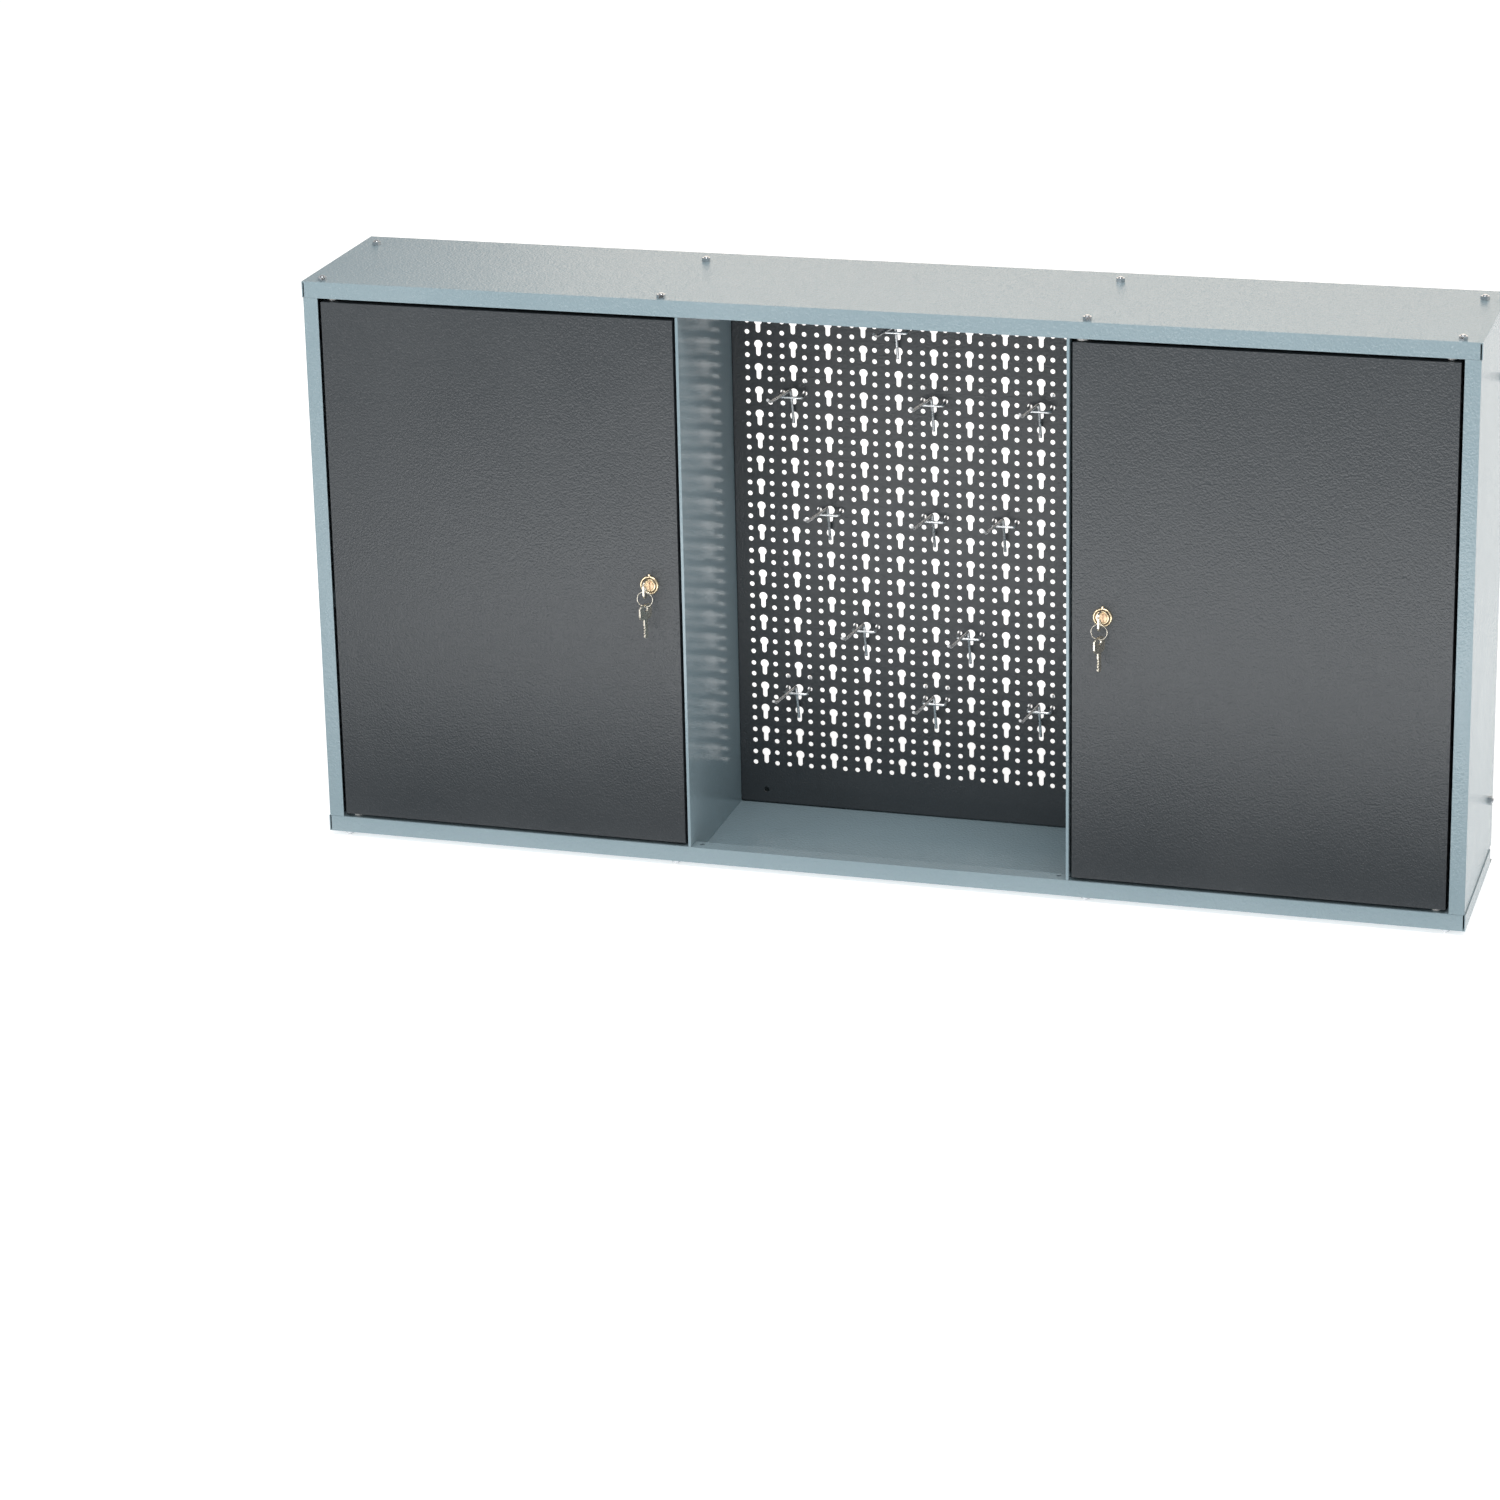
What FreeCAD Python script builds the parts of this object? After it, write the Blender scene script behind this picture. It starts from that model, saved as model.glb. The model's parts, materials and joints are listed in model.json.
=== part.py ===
import FreeCAD, Part
import math
import os
import Sketcher

# Wall tool cabinet of folded sheet steel, with an open middle bay and a locking door at each side.
# X runs to the right, Y towards the wall and Z up. The origin is the middle of the rear plane.

doc = FreeCAD.newDocument("tool_cabinet")
sheet = doc.addObject("Spreadsheet::Sheet", "Sheet")
named = []


class Size:
    """A length or a place: its value, and the expression that binds it to the sheet."""

    def __init__(self, value, text):
        self.value = value
        self.text = text

    def __add__(self, other):
        return Size(self.value + value_of(other), f"({self.text} + {text_of(other)})")

    def __sub__(self, other):
        return Size(self.value - value_of(other), f"({self.text} - {text_of(other)})")

    def __mul__(self, number):
        return Size(self.value * number, f"({self.text} * {number})")

    def __truediv__(self, number):
        return Size(self.value / number, f"({self.text} / {number})")

    def __neg__(self):
        return Size(-self.value, f"(-1 * {self.text})")


def value_of(amount):
    return amount.value if isinstance(amount, Size) else amount


def text_of(amount):
    return amount.text if isinstance(amount, Size) else str(amount)


def size(name, value):
    """Writes one driving dimension in the sheet, in millimetres, and hands it back bound to its cell."""
    named.append(name)
    row = len(named)
    sheet.set(f"A{row}", name)
    sheet.set(f"B{row}", str(value))
    sheet.setAlias(f"B{row}", name)
    return Size(value, f"Sheet.{name}")


# Driving dimensions of the case
case_width = size("case_width", 1200)
case_height = size("case_height", 600)
case_depth = size("case_depth", 200)
gauge = size("gauge", 1)
joint_gap = size("joint_gap", 0.2)
rim_height = size("rim_height", 17)
rim_lip = size("rim_lip", 17.5)
rim_end_gap = size("rim_end_gap", 2.5)
rear_rim_height = size("rear_rim_height", 30)
end_fold_relief = size("end_fold_relief", 14)
side_rim_width = size("side_rim_width", 16.7)
side_rear_rim_width = size("side_rear_rim_width", 20)
side_fold_width = size("side_fold_width", 31)
side_notch = size("side_notch", 12)

# Dividers and the panels at the back
divider_place = size("divider_place", 198)
hem_width = size("hem_width", 3)
hem_depth = size("hem_depth", 12)
divider_fold_width = size("divider_fold_width", 31)
back_setback = size("back_setback", 17)
back_fold_depth = size("back_fold_depth", 34)

# Holes to the wall, on the rear rims, counted from the dividers and from the top and bottom
wall_hole_side_inset = size("wall_hole_side_inset", 29)
wall_hole_inset = size("wall_hole_inset", 17)
wall_hole_width = size("wall_hole_width", 6)

# Perforation: round head, slot below it, and two small holes at each side of the keyhole
peg_column_pitch = size("peg_column_pitch", 37.5)
peg_row_pitch = size("peg_row_pitch", 25)
peg_top_inset = size("peg_top_inset", 65.6)
peg_side_margin = size("peg_side_margin", 10)
peg_bottom_margin = size("peg_bottom_margin", 40)
keyhole_width = size("keyhole_width", 9)
keyhole_slot_width = size("keyhole_slot_width", 5)
keyhole_drop = size("keyhole_drop", 12.8)
small_hole_width = size("small_hole_width", 5.2)
small_hole_side = size("small_hole_side", 12)
small_hole_drop = size("small_hole_drop", 12)

# M5 bolts of the case, counted from the front, the rear, the sides, the dividers and the back panels
bolt_width = size("bolt_width", 5)
bolt_hole_width = size("bolt_hole_width", 5.5)
bolt_head_width = size("bolt_head_width", 10)
bolt_head_height = size("bolt_head_height", 3.5)
bolt_tip = size("bolt_tip", 1.2)
nut_across_flats = size("nut_across_flats", 8)
nut_height = size("nut_height", 4)
thread_play = size("thread_play", 0.05)
bolt_front_row = size("bolt_front_row", 8)
bolt_rear_row = size("bolt_rear_row", 36)
bolt_side_inset = size("bolt_side_inset", 20)
bolt_divider_inset = size("bolt_divider_inset", 19)
side_bolt_setback = size("side_bolt_setback", 18)
side_bolt_height = size("side_bolt_height", 222)

# Shelves of the side bays and the angles that carry them
shelf_level = size("shelf_level", -40)
shelf_front = size("shelf_front", 30)
shelf_fold = size("shelf_fold", 20)
shelf_play = size("shelf_play", 1)
support_leg = size("support_leg", 13)
support_fold = size("support_fold", 20)
support_front = size("support_front", 35)
support_length = size("support_length", 108)

# Doors and their hinges
door_side_setback = size("door_side_setback", 20)
door_divider_gap = size("door_divider_gap", 3)
door_rim_gap = size("door_rim_gap", 4)
door_depth = size("door_depth", 20)
door_lip = size("door_lip", 12)
hinge_inset = size("hinge_inset", 10)
hinge_setback = size("hinge_setback", 10.5)
pin_head_width = size("pin_head_width", 8)
pin_head_height = size("pin_head_height", 2)
pin_shank_width = size("pin_shank_width", 4.8)
pin_hole_width = size("pin_hole_width", 5)
pin_shoulder_width = size("pin_shoulder_width", 7)
journal_width = size("journal_width", 4)
journal_length = size("journal_length", 8)
journal_play = size("journal_play", 0.08)
bush_collar_width = size("bush_collar_width", 9)
bush_collar_height = size("bush_collar_height", 3)
bush_spigot_width = size("bush_spigot_width", 6)
bush_spigot_height = size("bush_spigot_height", 4)
bush_hole_width = size("bush_hole_width", 6.4)
running_gap = size("running_gap", 0.2)

# Unused hinge holes beside the dividers, and the plug in one of them
spare_hole_width = size("spare_hole_width", 5.3)
spare_hole_outset = size("spare_hole_outset", 14)
spare_hole_inset = size("spare_hole_inset", 9)
plug_head_width = size("plug_head_width", 12)
plug_head_height = size("plug_head_height", 3.4)
plug_spigot_width = size("plug_spigot_width", 5)
plug_spigot_height = size("plug_spigot_height", 6)

# Cam locks
lock_inset = size("lock_inset", 31)
rosette_width = size("rosette_width", 20)
rosette_height = size("rosette_height", 2.5)
rosette_mark = size("rosette_mark", 1.5)
barrel_width = size("barrel_width", 17)
barrel_length = size("barrel_length", 19)
barrel_play = size("barrel_play", 0.25)
lock_nut_across_flats = size("lock_nut_across_flats", 22)
lock_nut_height = size("lock_nut_height", 4)
core_width = size("core_width", 9.8)
core_play = size("core_play", 0.08)
core_stand = size("core_stand", 0.4)
core_boss_width = size("core_boss_width", 7)
cam_gap = size("cam_gap", 0.4)
cam_thickness = size("cam_thickness", 2)
cam_width = size("cam_width", 12)
cam_hub_width = size("cam_hub_width", 14)
cam_reach = size("cam_reach", 30)
cam_screw_head_width = size("cam_screw_head_width", 8)
cam_screw_head_height = size("cam_screw_head_height", 2.5)
cam_screw_width = size("cam_screw_width", 4)
cam_screw_length = size("cam_screw_length", 7)
strike_gap = size("strike_gap", 0.3)
strike_reach = size("strike_reach", 14)
strike_depth = size("strike_depth", 30)
strike_height = size("strike_height", 50)

# Keys and rings
key_thickness = size("key_thickness", 2)
key_bow_width = size("key_bow_width", 19)
key_bow_length = size("key_bow_length", 16)
key_bow_corner = size("key_bow_corner", 5)
key_blade_width = size("key_blade_width", 5.5)
key_blade_length = size("key_blade_length", 20)
key_hole_width = size("key_hole_width", 6)
key_hole_inset = size("key_hole_inset", 4.6)
key_stand = size("key_stand", 21.5)
keyway_play = size("keyway_play", 0.15)
ring_radius = size("ring_radius", 8.1)
ring_wire_width = size("ring_wire_width", 1.4)
ring_play = size("ring_play", 0.3)

# Wire hooks
hook_wire_width = size("hook_wire_width", 3)
hook_play = size("hook_play", 0.3)
hook_tail = size("hook_tail", 14)
hook_stand = size("hook_stand", 12)
hook_weld = size("hook_weld", 0.2)
hook_leg_drop = size("hook_leg_drop", 32)
hook_leg_rise = size("hook_leg_rise", 6)
hook_bar_drop = size("hook_bar_drop", 2)
prong_reach = size("prong_reach", 86)
prong_rise = size("prong_rise", 13.5)
prong_tip_reach = size("prong_tip_reach", 11)
prong_tip_rise = size("prong_tip_rise", 5)
hook_bend = size("hook_bend", 2.5)
prong_bend = size("prong_bend", 4)
cut_over = size("cut_over", 1)

doc.recompute()

# Places that several pieces share
ZERO = Size(0, "0")
front = -case_depth
half_width = case_width / 2
half_height = case_height / 2
rim_level = half_height - rim_height
opening_level = rim_level - joint_gap
fold_level = half_height - gauge * 2
back_face = -back_setback
divider_outer = divider_place + gauge
door_inner = divider_place + hem_width + door_divider_gap
door_outer = half_width - door_side_setback
door_level = rim_level - door_rim_gap
door_back = front + door_depth
hinge_place = door_outer - hinge_inset
hinge_line = front + hinge_setback
lock_place = door_inner + lock_inset
strike_face = door_back + strike_gap
cam_face = strike_face + gauge + cam_gap
cam_back = cam_face + cam_thickness
bolt_rows = (front + bolt_front_row, -bolt_rear_row)
side_bolt_row = back_face - side_bolt_setback
bolt_columns = (half_width - bolt_side_inset, divider_place + bolt_divider_inset)
wall_hole_place = divider_place - wall_hole_side_inset
wall_hole_level = half_height - wall_hole_inset
SIDES = {"left": -1, "right": 1}
LEVELS = {"bottom": -1, "top": 1}

# A cylinder stands along Z until one of these turns lays it along the named axis
TURNS = {
    "x": FreeCAD.Rotation(FreeCAD.Vector(0, 1, 0), 90),
    "y": FreeCAD.Rotation(FreeCAD.Vector(1, 0, 0), -90),
    "z": FreeCAD.Rotation(),
}
sub_parts = {}


def keep(label, item):
    """Names a finished sub-part."""
    item.Label = label
    sub_parts[label] = item
    return item


def across(reach):
    """The stretch from one side of the middle to the other."""
    return (-reach, reach)


def beyond(sign, near, far):
    """The stretch from near to far, on the side of the middle that the sign tells."""
    return (near, far) if sign > 0 else (-far, -near)


def place(item, point):
    """Binds where an object stands."""
    for axis, amount in zip("xyz", point):
        item.setExpression(f"Placement.Base.{axis}", text_of(amount))


def box(x, y, z):
    """A block between two places along each axis."""
    item = doc.addObject("Part::Box", "block")
    for name, (low, high) in zip(("Length", "Width", "Height"), (x, y, z)):
        item.setExpression(name, text_of(high - low))
    place(item, (x[0], y[0], z[0]))
    return item


def rod(axis, centre, width, span):
    """A round bar along an axis, at two centre places, from one end of its span to the other."""
    item = doc.addObject("Part::Cylinder", "rod")
    item.Placement.Rotation = TURNS[axis]
    item.setExpression("Radius", text_of(width / 2))
    item.setExpression("Height", text_of(span[1] - span[0]))
    point = list(centre)
    point.insert("xyz".index(axis), span[0])
    place(item, point)
    return item


def hexagon(axis, centre, across_flats, span):
    """A six-sided bar, as rod."""
    item = doc.addObject("Part::Prism", "hexagon")
    item.Placement.Rotation = TURNS[axis]
    item.Polygon = 6
    item.setExpression("Circumradius", text_of(across_flats / math.sqrt(3)))
    item.setExpression("Height", text_of(span[1] - span[0]))
    point = list(centre)
    point.insert("xyz".index(axis), span[0])
    place(item, point)
    return item


def fused(solids):
    """One solid of several that meet."""
    if len(solids) == 1:
        return solids[0]
    item = doc.addObject("Part::MultiFuse", "fused")
    item.Shapes = solids
    item.Refine = True
    return item


def drilled(base, tools):
    """The base less its holes."""
    item = doc.addObject("Part::Cut", "drilled")
    item.Base = base
    item.Tool = fused(tools)
    return item


def group(solids):
    """Separate solids that share one node."""
    item = doc.addObject("Part::Compound", "group")
    item.Links = solids
    return item


def hole(axis, centre, width, middle):
    """A drill through one sheet whose middle lies at the given place."""
    return rod(axis, centre, width, (middle - gauge - cut_over, middle + gauge + cut_over))


def drawn(body, role, corners, name, offset=ZERO):
    """A closed sketch of straight lines on one of the body's own planes, each corner bound to the sheet."""
    plane = next(item for item in body.Origin.OriginFeatures if item.Role == role)
    sketch = body.newObject("Sketcher::SketchObject", name)
    sketch.AttachmentSupport = [(plane, "")]
    sketch.MapMode = "FlatFace"
    sketch.setExpression("AttachmentOffset.Base.z", text_of(offset))
    points = [FreeCAD.Vector(value_of(u), value_of(v), 0) for u, v in corners]
    count = len(points)
    for index, point in enumerate(points):
        sketch.addGeometry(Part.LineSegment(point, points[(index + 1) % count]), False)
    for index in range(count):
        sketch.addConstraint(Sketcher.Constraint("Coincident", index, 2, (index + 1) % count, 1))
    for index, corner in enumerate(corners):
        for kind, amount in zip(("DistanceX", "DistanceY"), corner):
            number = sketch.addConstraint(Sketcher.Constraint(kind, -1, 1, index, 1, value_of(amount)))
            sketch.renameConstraint(number, f"{kind}_{index}")
            sketch.setExpression(f"Constraints.{kind}_{index}", text_of(amount))
    return sketch


def new_body(name):
    return doc.addObject("PartDesign::Body", f"{name}_body")


def padded(name, role, corners, start, length):
    """A body whose outline is padded along the normal of its plane, from the start place."""
    body = new_body(name)
    sketch = drawn(body, role, corners, f"{name}_outline", start)
    pad = body.newObject("PartDesign::Pad", f"{name}_pad")
    pad.Profile = sketch
    pad.setExpression("Length", text_of(length))
    body.Tip = pad
    return body


def turned(name, corners):
    """A body whose half section, radius then height, is turned round its own Z axis."""
    body = new_body(name)
    sketch = drawn(body, "XZ_Plane", corners, f"{name}_section")
    turn = body.newObject("PartDesign::Revolution", f"{name}_turn")
    turn.Profile = sketch
    turn.ReferenceAxis = (sketch, ["V_Axis"])
    turn.Angle = 360
    body.Tip = turn
    return body


# Case: the top and bottom panels are trays, folded at the front, at the rear and at both ends
def rim_panel(label, sign):
    rim = across(half_width - rim_end_gap)
    skirt = beyond(sign, rim_level, half_height)
    sheets = [
        box(across(half_width), (front, ZERO), beyond(sign, half_height - gauge, half_height)),
        box(rim, (front, front + gauge), skirt),
        box(rim, (front, front + rim_lip), beyond(sign, rim_level, rim_level + gauge)),
        box(rim, (-gauge, ZERO), beyond(sign, half_height - rear_rim_height, half_height)),
    ]
    holes = []
    for side in SIDES.values():
        end = beyond(side, half_width - gauge, half_width)
        sheets.append(box(end, (front, -end_fold_relief), skirt))
        for column in bolt_columns:
            for row in bolt_rows:
                holes.append(hole("z", (column * side, row), bolt_hole_width, half_height * sign))
        holes.append(hole("z", (hinge_place * side, hinge_line), bush_hole_width, rim_level * sign))
        spare_places = (divider_place + spare_hole_outset, divider_place - spare_hole_inset)
        for spare_place in spare_places:
            holes.append(hole("z", (spare_place * side, hinge_line), spare_hole_width, rim_level * sign))
        wall_place = (wall_hole_place * side, wall_hole_level * sign)
        holes.append(hole("y", wall_place, wall_hole_width, ZERO))
    keep(label, drilled(fused(sheets), holes))


for level_name, level_sign in LEVELS.items():
    rim_panel(f"{level_name}_panel", level_sign)


# Side panels stand inside the end folds, with a front rim, a rear rim and a bolted fold at each end
def side_panel(label, side):
    outer = half_width - gauge
    web = beyond(side, outer - gauge, outer)
    fold = beyond(side, outer - side_fold_width, outer)
    front_rim = beyond(side, half_width - side_rim_width, outer)
    rear_level = half_height - rear_rim_height - joint_gap
    sheets = [
        box(web, (front, ZERO), across(opening_level)),
        box(web, (front + side_notch, -end_fold_relief), across(half_height - gauge)),
        box(front_rim, (front, front + gauge), across(opening_level)),
        box(beyond(side, outer - side_rear_rim_width, outer), (-gauge, ZERO), across(rear_level)),
    ]
    holes = []
    for sign in LEVELS.values():
        level = beyond(sign, fold_level, fold_level + gauge)
        sheets.append(box(fold, (front + gauge + joint_gap, -end_fold_relief), level))
        for row in bolt_rows:
            holes.append(hole("z", (bolt_columns[0] * side, row), bolt_hole_width, fold_level * sign))
        bolt_place = (side_bolt_row, side_bolt_height * sign)
        holes.append(hole("x", bolt_place, bolt_hole_width, outer * side))
    keep(label, drilled(fused(sheets), holes))


# Dividers: a web with a hemmed front edge, notched round the lips, and bolted folds that turn outwards
def divider(label, side):
    web = beyond(side, divider_place, divider_outer)
    hem = beyond(side, divider_place, divider_place + hem_width)
    hem_return = beyond(side, divider_place + hem_width - gauge, divider_place + hem_width)
    fold = beyond(side, divider_place, divider_place + divider_fold_width)
    sheets = [
        box(web, (front, -gauge), across(opening_level)),
        box(web, (front + rim_lip + joint_gap, -gauge), across(half_height - gauge)),
        box(hem, (front, front + gauge), across(opening_level)),
        box(hem_return, (front, front + hem_depth), across(opening_level)),
    ]
    holes = []
    for sign in LEVELS.values():
        level = beyond(sign, fold_level, fold_level + gauge)
        sheets.append(box(fold, (front + gauge + joint_gap, -gauge), level))
        for row in bolt_rows:
            holes.append(hole("z", (bolt_columns[1] * side, row), bolt_hole_width, fold_level * sign))
    keep(label, drilled(fused(sheets), holes))


# Back of a side bay: a sheet with two forward folds, bolted to the side panel and welded to the divider
def back_panel(label, side):
    inner = divider_outer
    outer = half_width - gauge * 2
    back = back_face + gauge
    tip = back_face - back_fold_depth
    corners = [
        (inner * side, tip),
        ((inner + gauge) * side, tip),
        ((inner + gauge) * side, back_face),
        ((outer - gauge) * side, back_face),
        ((outer - gauge) * side, tip),
        (outer * side, tip),
        (outer * side, back),
        (inner * side, back),
    ]
    reach = fold_level - joint_gap
    body = padded(label, "XY_Plane", corners, -reach, reach * 2)
    holes = []
    for sign in LEVELS.values():
        bolt_place = (side_bolt_row, side_bolt_height * sign)
        holes.append(hole("x", bolt_place, bolt_hole_width, outer * side))
    keep(label, drilled(body, holes))


for side_name, side_sign in SIDES.items():
    side_panel(f"{side_name}_side_panel", side_sign)
    divider(f"{side_name}_divider", side_sign)
    back_panel(f"{side_name}_back_panel", side_sign)


# Perforated panel: a sheet whose holes follow a formula, with four folds towards the wall
def ring_wire(x, z, radius, y):
    """A round hole's edge in the plane of the panel."""
    circle = Part.Circle(FreeCAD.Vector(x, y, z), FreeCAD.Vector(0, 1, 0), radius)
    return Part.Wire(circle.toShape())


def keyhole_wire(x, z, y):
    """A keyhole's edge: a round head and a slot below it with a round end."""
    head = keyhole_width.value / 2
    slot = keyhole_slot_width.value / 2
    neck = z - math.sqrt(head * head - slot * slot)
    low = z - keyhole_drop.value + slot
    neck_right = FreeCAD.Vector(x + slot, y, neck)
    neck_left = FreeCAD.Vector(x - slot, y, neck)
    low_right = FreeCAD.Vector(x + slot, y, low)
    low_left = FreeCAD.Vector(x - slot, y, low)
    edges = [
        Part.Arc(neck_right, FreeCAD.Vector(x, y, z + head), neck_left).toShape(),
        Part.LineSegment(neck_left, low_left).toShape(),
        Part.Arc(low_left, FreeCAD.Vector(x, y, low - slot), low_right).toShape(),
        Part.LineSegment(low_right, neck_right).toShape(),
    ]
    return Part.Wire(edges)


# As many columns and rows as the panel has room for between its margins
peg_top_row = half_height - peg_top_inset
peg_run = (divider_place - peg_side_margin - small_hole_side) * 2 - small_hole_width
peg_fall = peg_top_row - keyhole_drop + fold_level - peg_bottom_margin
PEG_COLUMNS = math.floor(peg_run.value / peg_column_pitch.value) + 1
PEG_ROWS = math.floor(peg_fall.value / peg_row_pitch.value) + 1


def peg_column(index):
    return peg_column_pitch.value * (index - (PEG_COLUMNS - 1) / 2)


def peg_row(index):
    return peg_top_row.value - peg_row_pitch.value * index


def peg_hole_wires(column):
    """The edges of all the holes of one column of the perforation."""
    x = peg_column(column)
    y = back_face.value
    side = small_hole_side.value
    wires = []
    for row in range(PEG_ROWS):
        z = peg_row(row)
        wires.append(keyhole_wire(x, z, y))
        for level_drop in (0, small_hole_drop.value):
            for hole_x in (x - side, x + side):
                wires.append(ring_wire(hole_x, z - level_drop, small_hole_width.value / 2, y))
    if column in (0, PEG_COLUMNS - 1):
        wall_x = math.copysign(wall_hole_place.value, x)
        for wall_z in (-wall_hole_level.value, wall_hole_level.value):
            wires.append(ring_wire(wall_x, wall_z, wall_hole_width.value / 2, y))
    return wires


def peg_strip(column):
    """One upright strip of the sheet, a column wide. The first and the last reach to the dividers."""
    y = back_face.value
    level = (fold_level - joint_gap).value
    low_x = peg_column(column - 0.5) if column else -divider_place.value
    high_x = peg_column(column + 0.5) if column < PEG_COLUMNS - 1 else divider_place.value
    corners = [(low_x, -level), (high_x, -level), (high_x, level), (low_x, level), (low_x, -level)]
    outline = Part.makePolygon([FreeCAD.Vector(x, y, z) for x, z in corners])
    face = Part.makeFace([outline] + peg_hole_wires(column), "Part::FaceMakerBullseye")
    strip = doc.addObject("Part::Feature", "strip")
    strip.Shape = face.extrude(FreeCAD.Vector(0, gauge.value, 0))
    return strip


def peg_panel():
    high = fold_level - joint_gap
    depth = (back_face, -gauge)
    pieces = [peg_strip(column) for column in range(PEG_COLUMNS)]
    for sign in (-1, 1):
        pieces.append(box(beyond(sign, divider_place - gauge, divider_place), depth, across(high)))
        pieces.append(box(across(divider_place), depth, beyond(sign, high - gauge, high)))
    whole = fused(pieces)
    whole.Refine = False
    keep("peg_panel", whole)


peg_panel()


# Bolts of the case: the heads are inside, the nuts and the tips outside
def bolt(axis, centre, seat, face, sign):
    """A bolt whose head sits under the seat, with its tip proud of the nut on the outer face."""
    low = seat - bolt_head_height
    head = rod(axis, centre, bolt_head_width, beyond(sign, low, seat))
    shank = rod(axis, centre, bolt_width, beyond(sign, low, face + nut_height + bolt_tip))
    return fused([head, shank])


def nut(axis, centre, face, sign):
    """A nut that stands on the outer face."""
    span = beyond(sign, face, face + nut_height)
    bore = (span[0] - cut_over, span[1] + cut_over)
    tapped = rod(axis, centre, bolt_width + thread_play * 2, bore)
    return drilled(hexagon(axis, centre, nut_across_flats, span), [tapped])


case_bolts = []
case_nuts = []
for level_sign in LEVELS.values():
    for side_sign in SIDES.values():
        for bolt_column in bolt_columns:
            for bolt_row in bolt_rows:
                bolt_centre = (bolt_column * side_sign, bolt_row)
                case_bolts.append(bolt("z", bolt_centre, fold_level, half_height, level_sign))
                case_nuts.append(nut("z", bolt_centre, half_height, level_sign))
        bolt_centre = (side_bolt_row, side_bolt_height * level_sign)
        case_bolts.append(bolt("x", bolt_centre, half_width - gauge * 3, half_width - gauge, side_sign))
        case_nuts.append(nut("x", bolt_centre, half_width - gauge, side_sign))
keep("case_bolts", group(case_bolts))
keep("case_nuts", group(case_nuts))


# Shelf of a side bay: a sheet with its front and rear edges folded down, on two angles
def shelf(label, side):
    low = shelf_level - shelf_fold
    face = front + shelf_front
    back = back_face - shelf_play
    under = shelf_level - gauge
    corners = [
        (face, low),
        (face + gauge, low),
        (face + gauge, under),
        (back - gauge, under),
        (back - gauge, low),
        (back, low),
        (back, shelf_level),
        (face, shelf_level),
    ]
    span = beyond(side, divider_outer + gauge + shelf_play, half_width - gauge * 3 - shelf_play)
    keep(label, padded(label, "YZ_Plane", corners, span[0], span[1] - span[0]))


def shelf_supports(label, side):
    angles = []
    seat = shelf_level - gauge
    low = seat - support_fold
    for wall, inward in ((divider_outer, 1), (half_width - gauge * 2, -1)):
        corners = [
            (wall * side, low),
            ((wall + gauge * inward) * side, low),
            ((wall + gauge * inward) * side, seat - gauge),
            ((wall + support_leg * inward) * side, seat - gauge),
            ((wall + support_leg * inward) * side, seat),
            (wall * side, seat),
        ]
        start = -(front + support_front + support_length)
        angles.append(padded(f"{label}_{inward + 1}", "XZ_Plane", corners, start, support_length))
    keep(label, group(angles))


# Strike plate: an angle welded to the divider. Its flange stops the door and holds the cam
def strike_plate(label, side):
    inner = divider_outer
    corners = [
        (inner * side, strike_face),
        ((inner + strike_reach) * side, strike_face),
        ((inner + strike_reach) * side, strike_face + gauge),
        ((inner + gauge) * side, strike_face + gauge),
        ((inner + gauge) * side, strike_face + strike_depth),
        (inner * side, strike_face + strike_depth),
    ]
    keep(label, padded(label, "XY_Plane", corners, -strike_height / 2, strike_height))


for side_name, side_sign in SIDES.items():
    shelf(f"{side_name}_shelf", side_sign)
    shelf_supports(f"{side_name}_shelf_supports", side_sign)
    strike_plate(f"{side_name}_strike_plate", side_sign)


# Door: a folded pan with a return lip all round, open at its back
def door(label, side):
    pan = box(beyond(side, door_inner, door_outer), (front, door_back), across(door_level))
    inside = beyond(side, door_inner + gauge, door_outer - gauge)
    hollow = box(inside, (front + gauge, door_back - gauge), across(door_level - gauge))
    window = box(
        beyond(side, door_inner + door_lip, door_outer - door_lip),
        (door_back - gauge - cut_over, door_back + cut_over),
        across(door_level - door_lip),
    )
    cuts = [hollow, window]
    for sign in LEVELS.values():
        cuts.append(hole("z", (hinge_place * side, hinge_line), pin_hole_width, door_level * sign))
    cuts.append(hole("y", (lock_place * side, ZERO), barrel_width + barrel_play * 2, front))
    keep(label, drilled(pan, cuts))


# Hinge: a headed pin in the door's edge turns in a nylon bush in the lip of the case
def stood(body, side, sign, level):
    """Stands a turned piece on the hinge line, upside down below the middle."""
    place(body, (hinge_place * side, hinge_line, level * sign))
    if sign < 0:
        body.Placement.Rotation = FreeCAD.Rotation(FreeCAD.Vector(1, 0, 0), 180)


def hinge_pin(label, side, sign):
    shoulder_top = door_rim_gap - bush_collar_height - running_gap
    corners = [
        (ZERO, -gauge - pin_head_height),
        (pin_head_width / 2, -gauge - pin_head_height),
        (pin_head_width / 2, -gauge),
        (pin_shank_width / 2, -gauge),
        (pin_shank_width / 2, ZERO),
        (pin_shoulder_width / 2, ZERO),
        (pin_shoulder_width / 2, shoulder_top),
        (journal_width / 2, shoulder_top),
        (journal_width / 2, shoulder_top + journal_length),
        (ZERO, shoulder_top + journal_length),
    ]
    body = turned(label, corners)
    stood(body, side, sign, door_level)
    keep(label, body)


def hinge_bush(label, side, sign):
    bore = journal_width / 2 + journal_play
    corners = [
        (bore, -bush_collar_height),
        (bush_collar_width / 2, -bush_collar_height),
        (bush_collar_width / 2, ZERO),
        (bush_spigot_width / 2, ZERO),
        (bush_spigot_width / 2, bush_spigot_height),
        (bore, bush_spigot_height),
    ]
    body = turned(label, corners)
    stood(body, side, sign, rim_level)
    keep(label, body)


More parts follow.
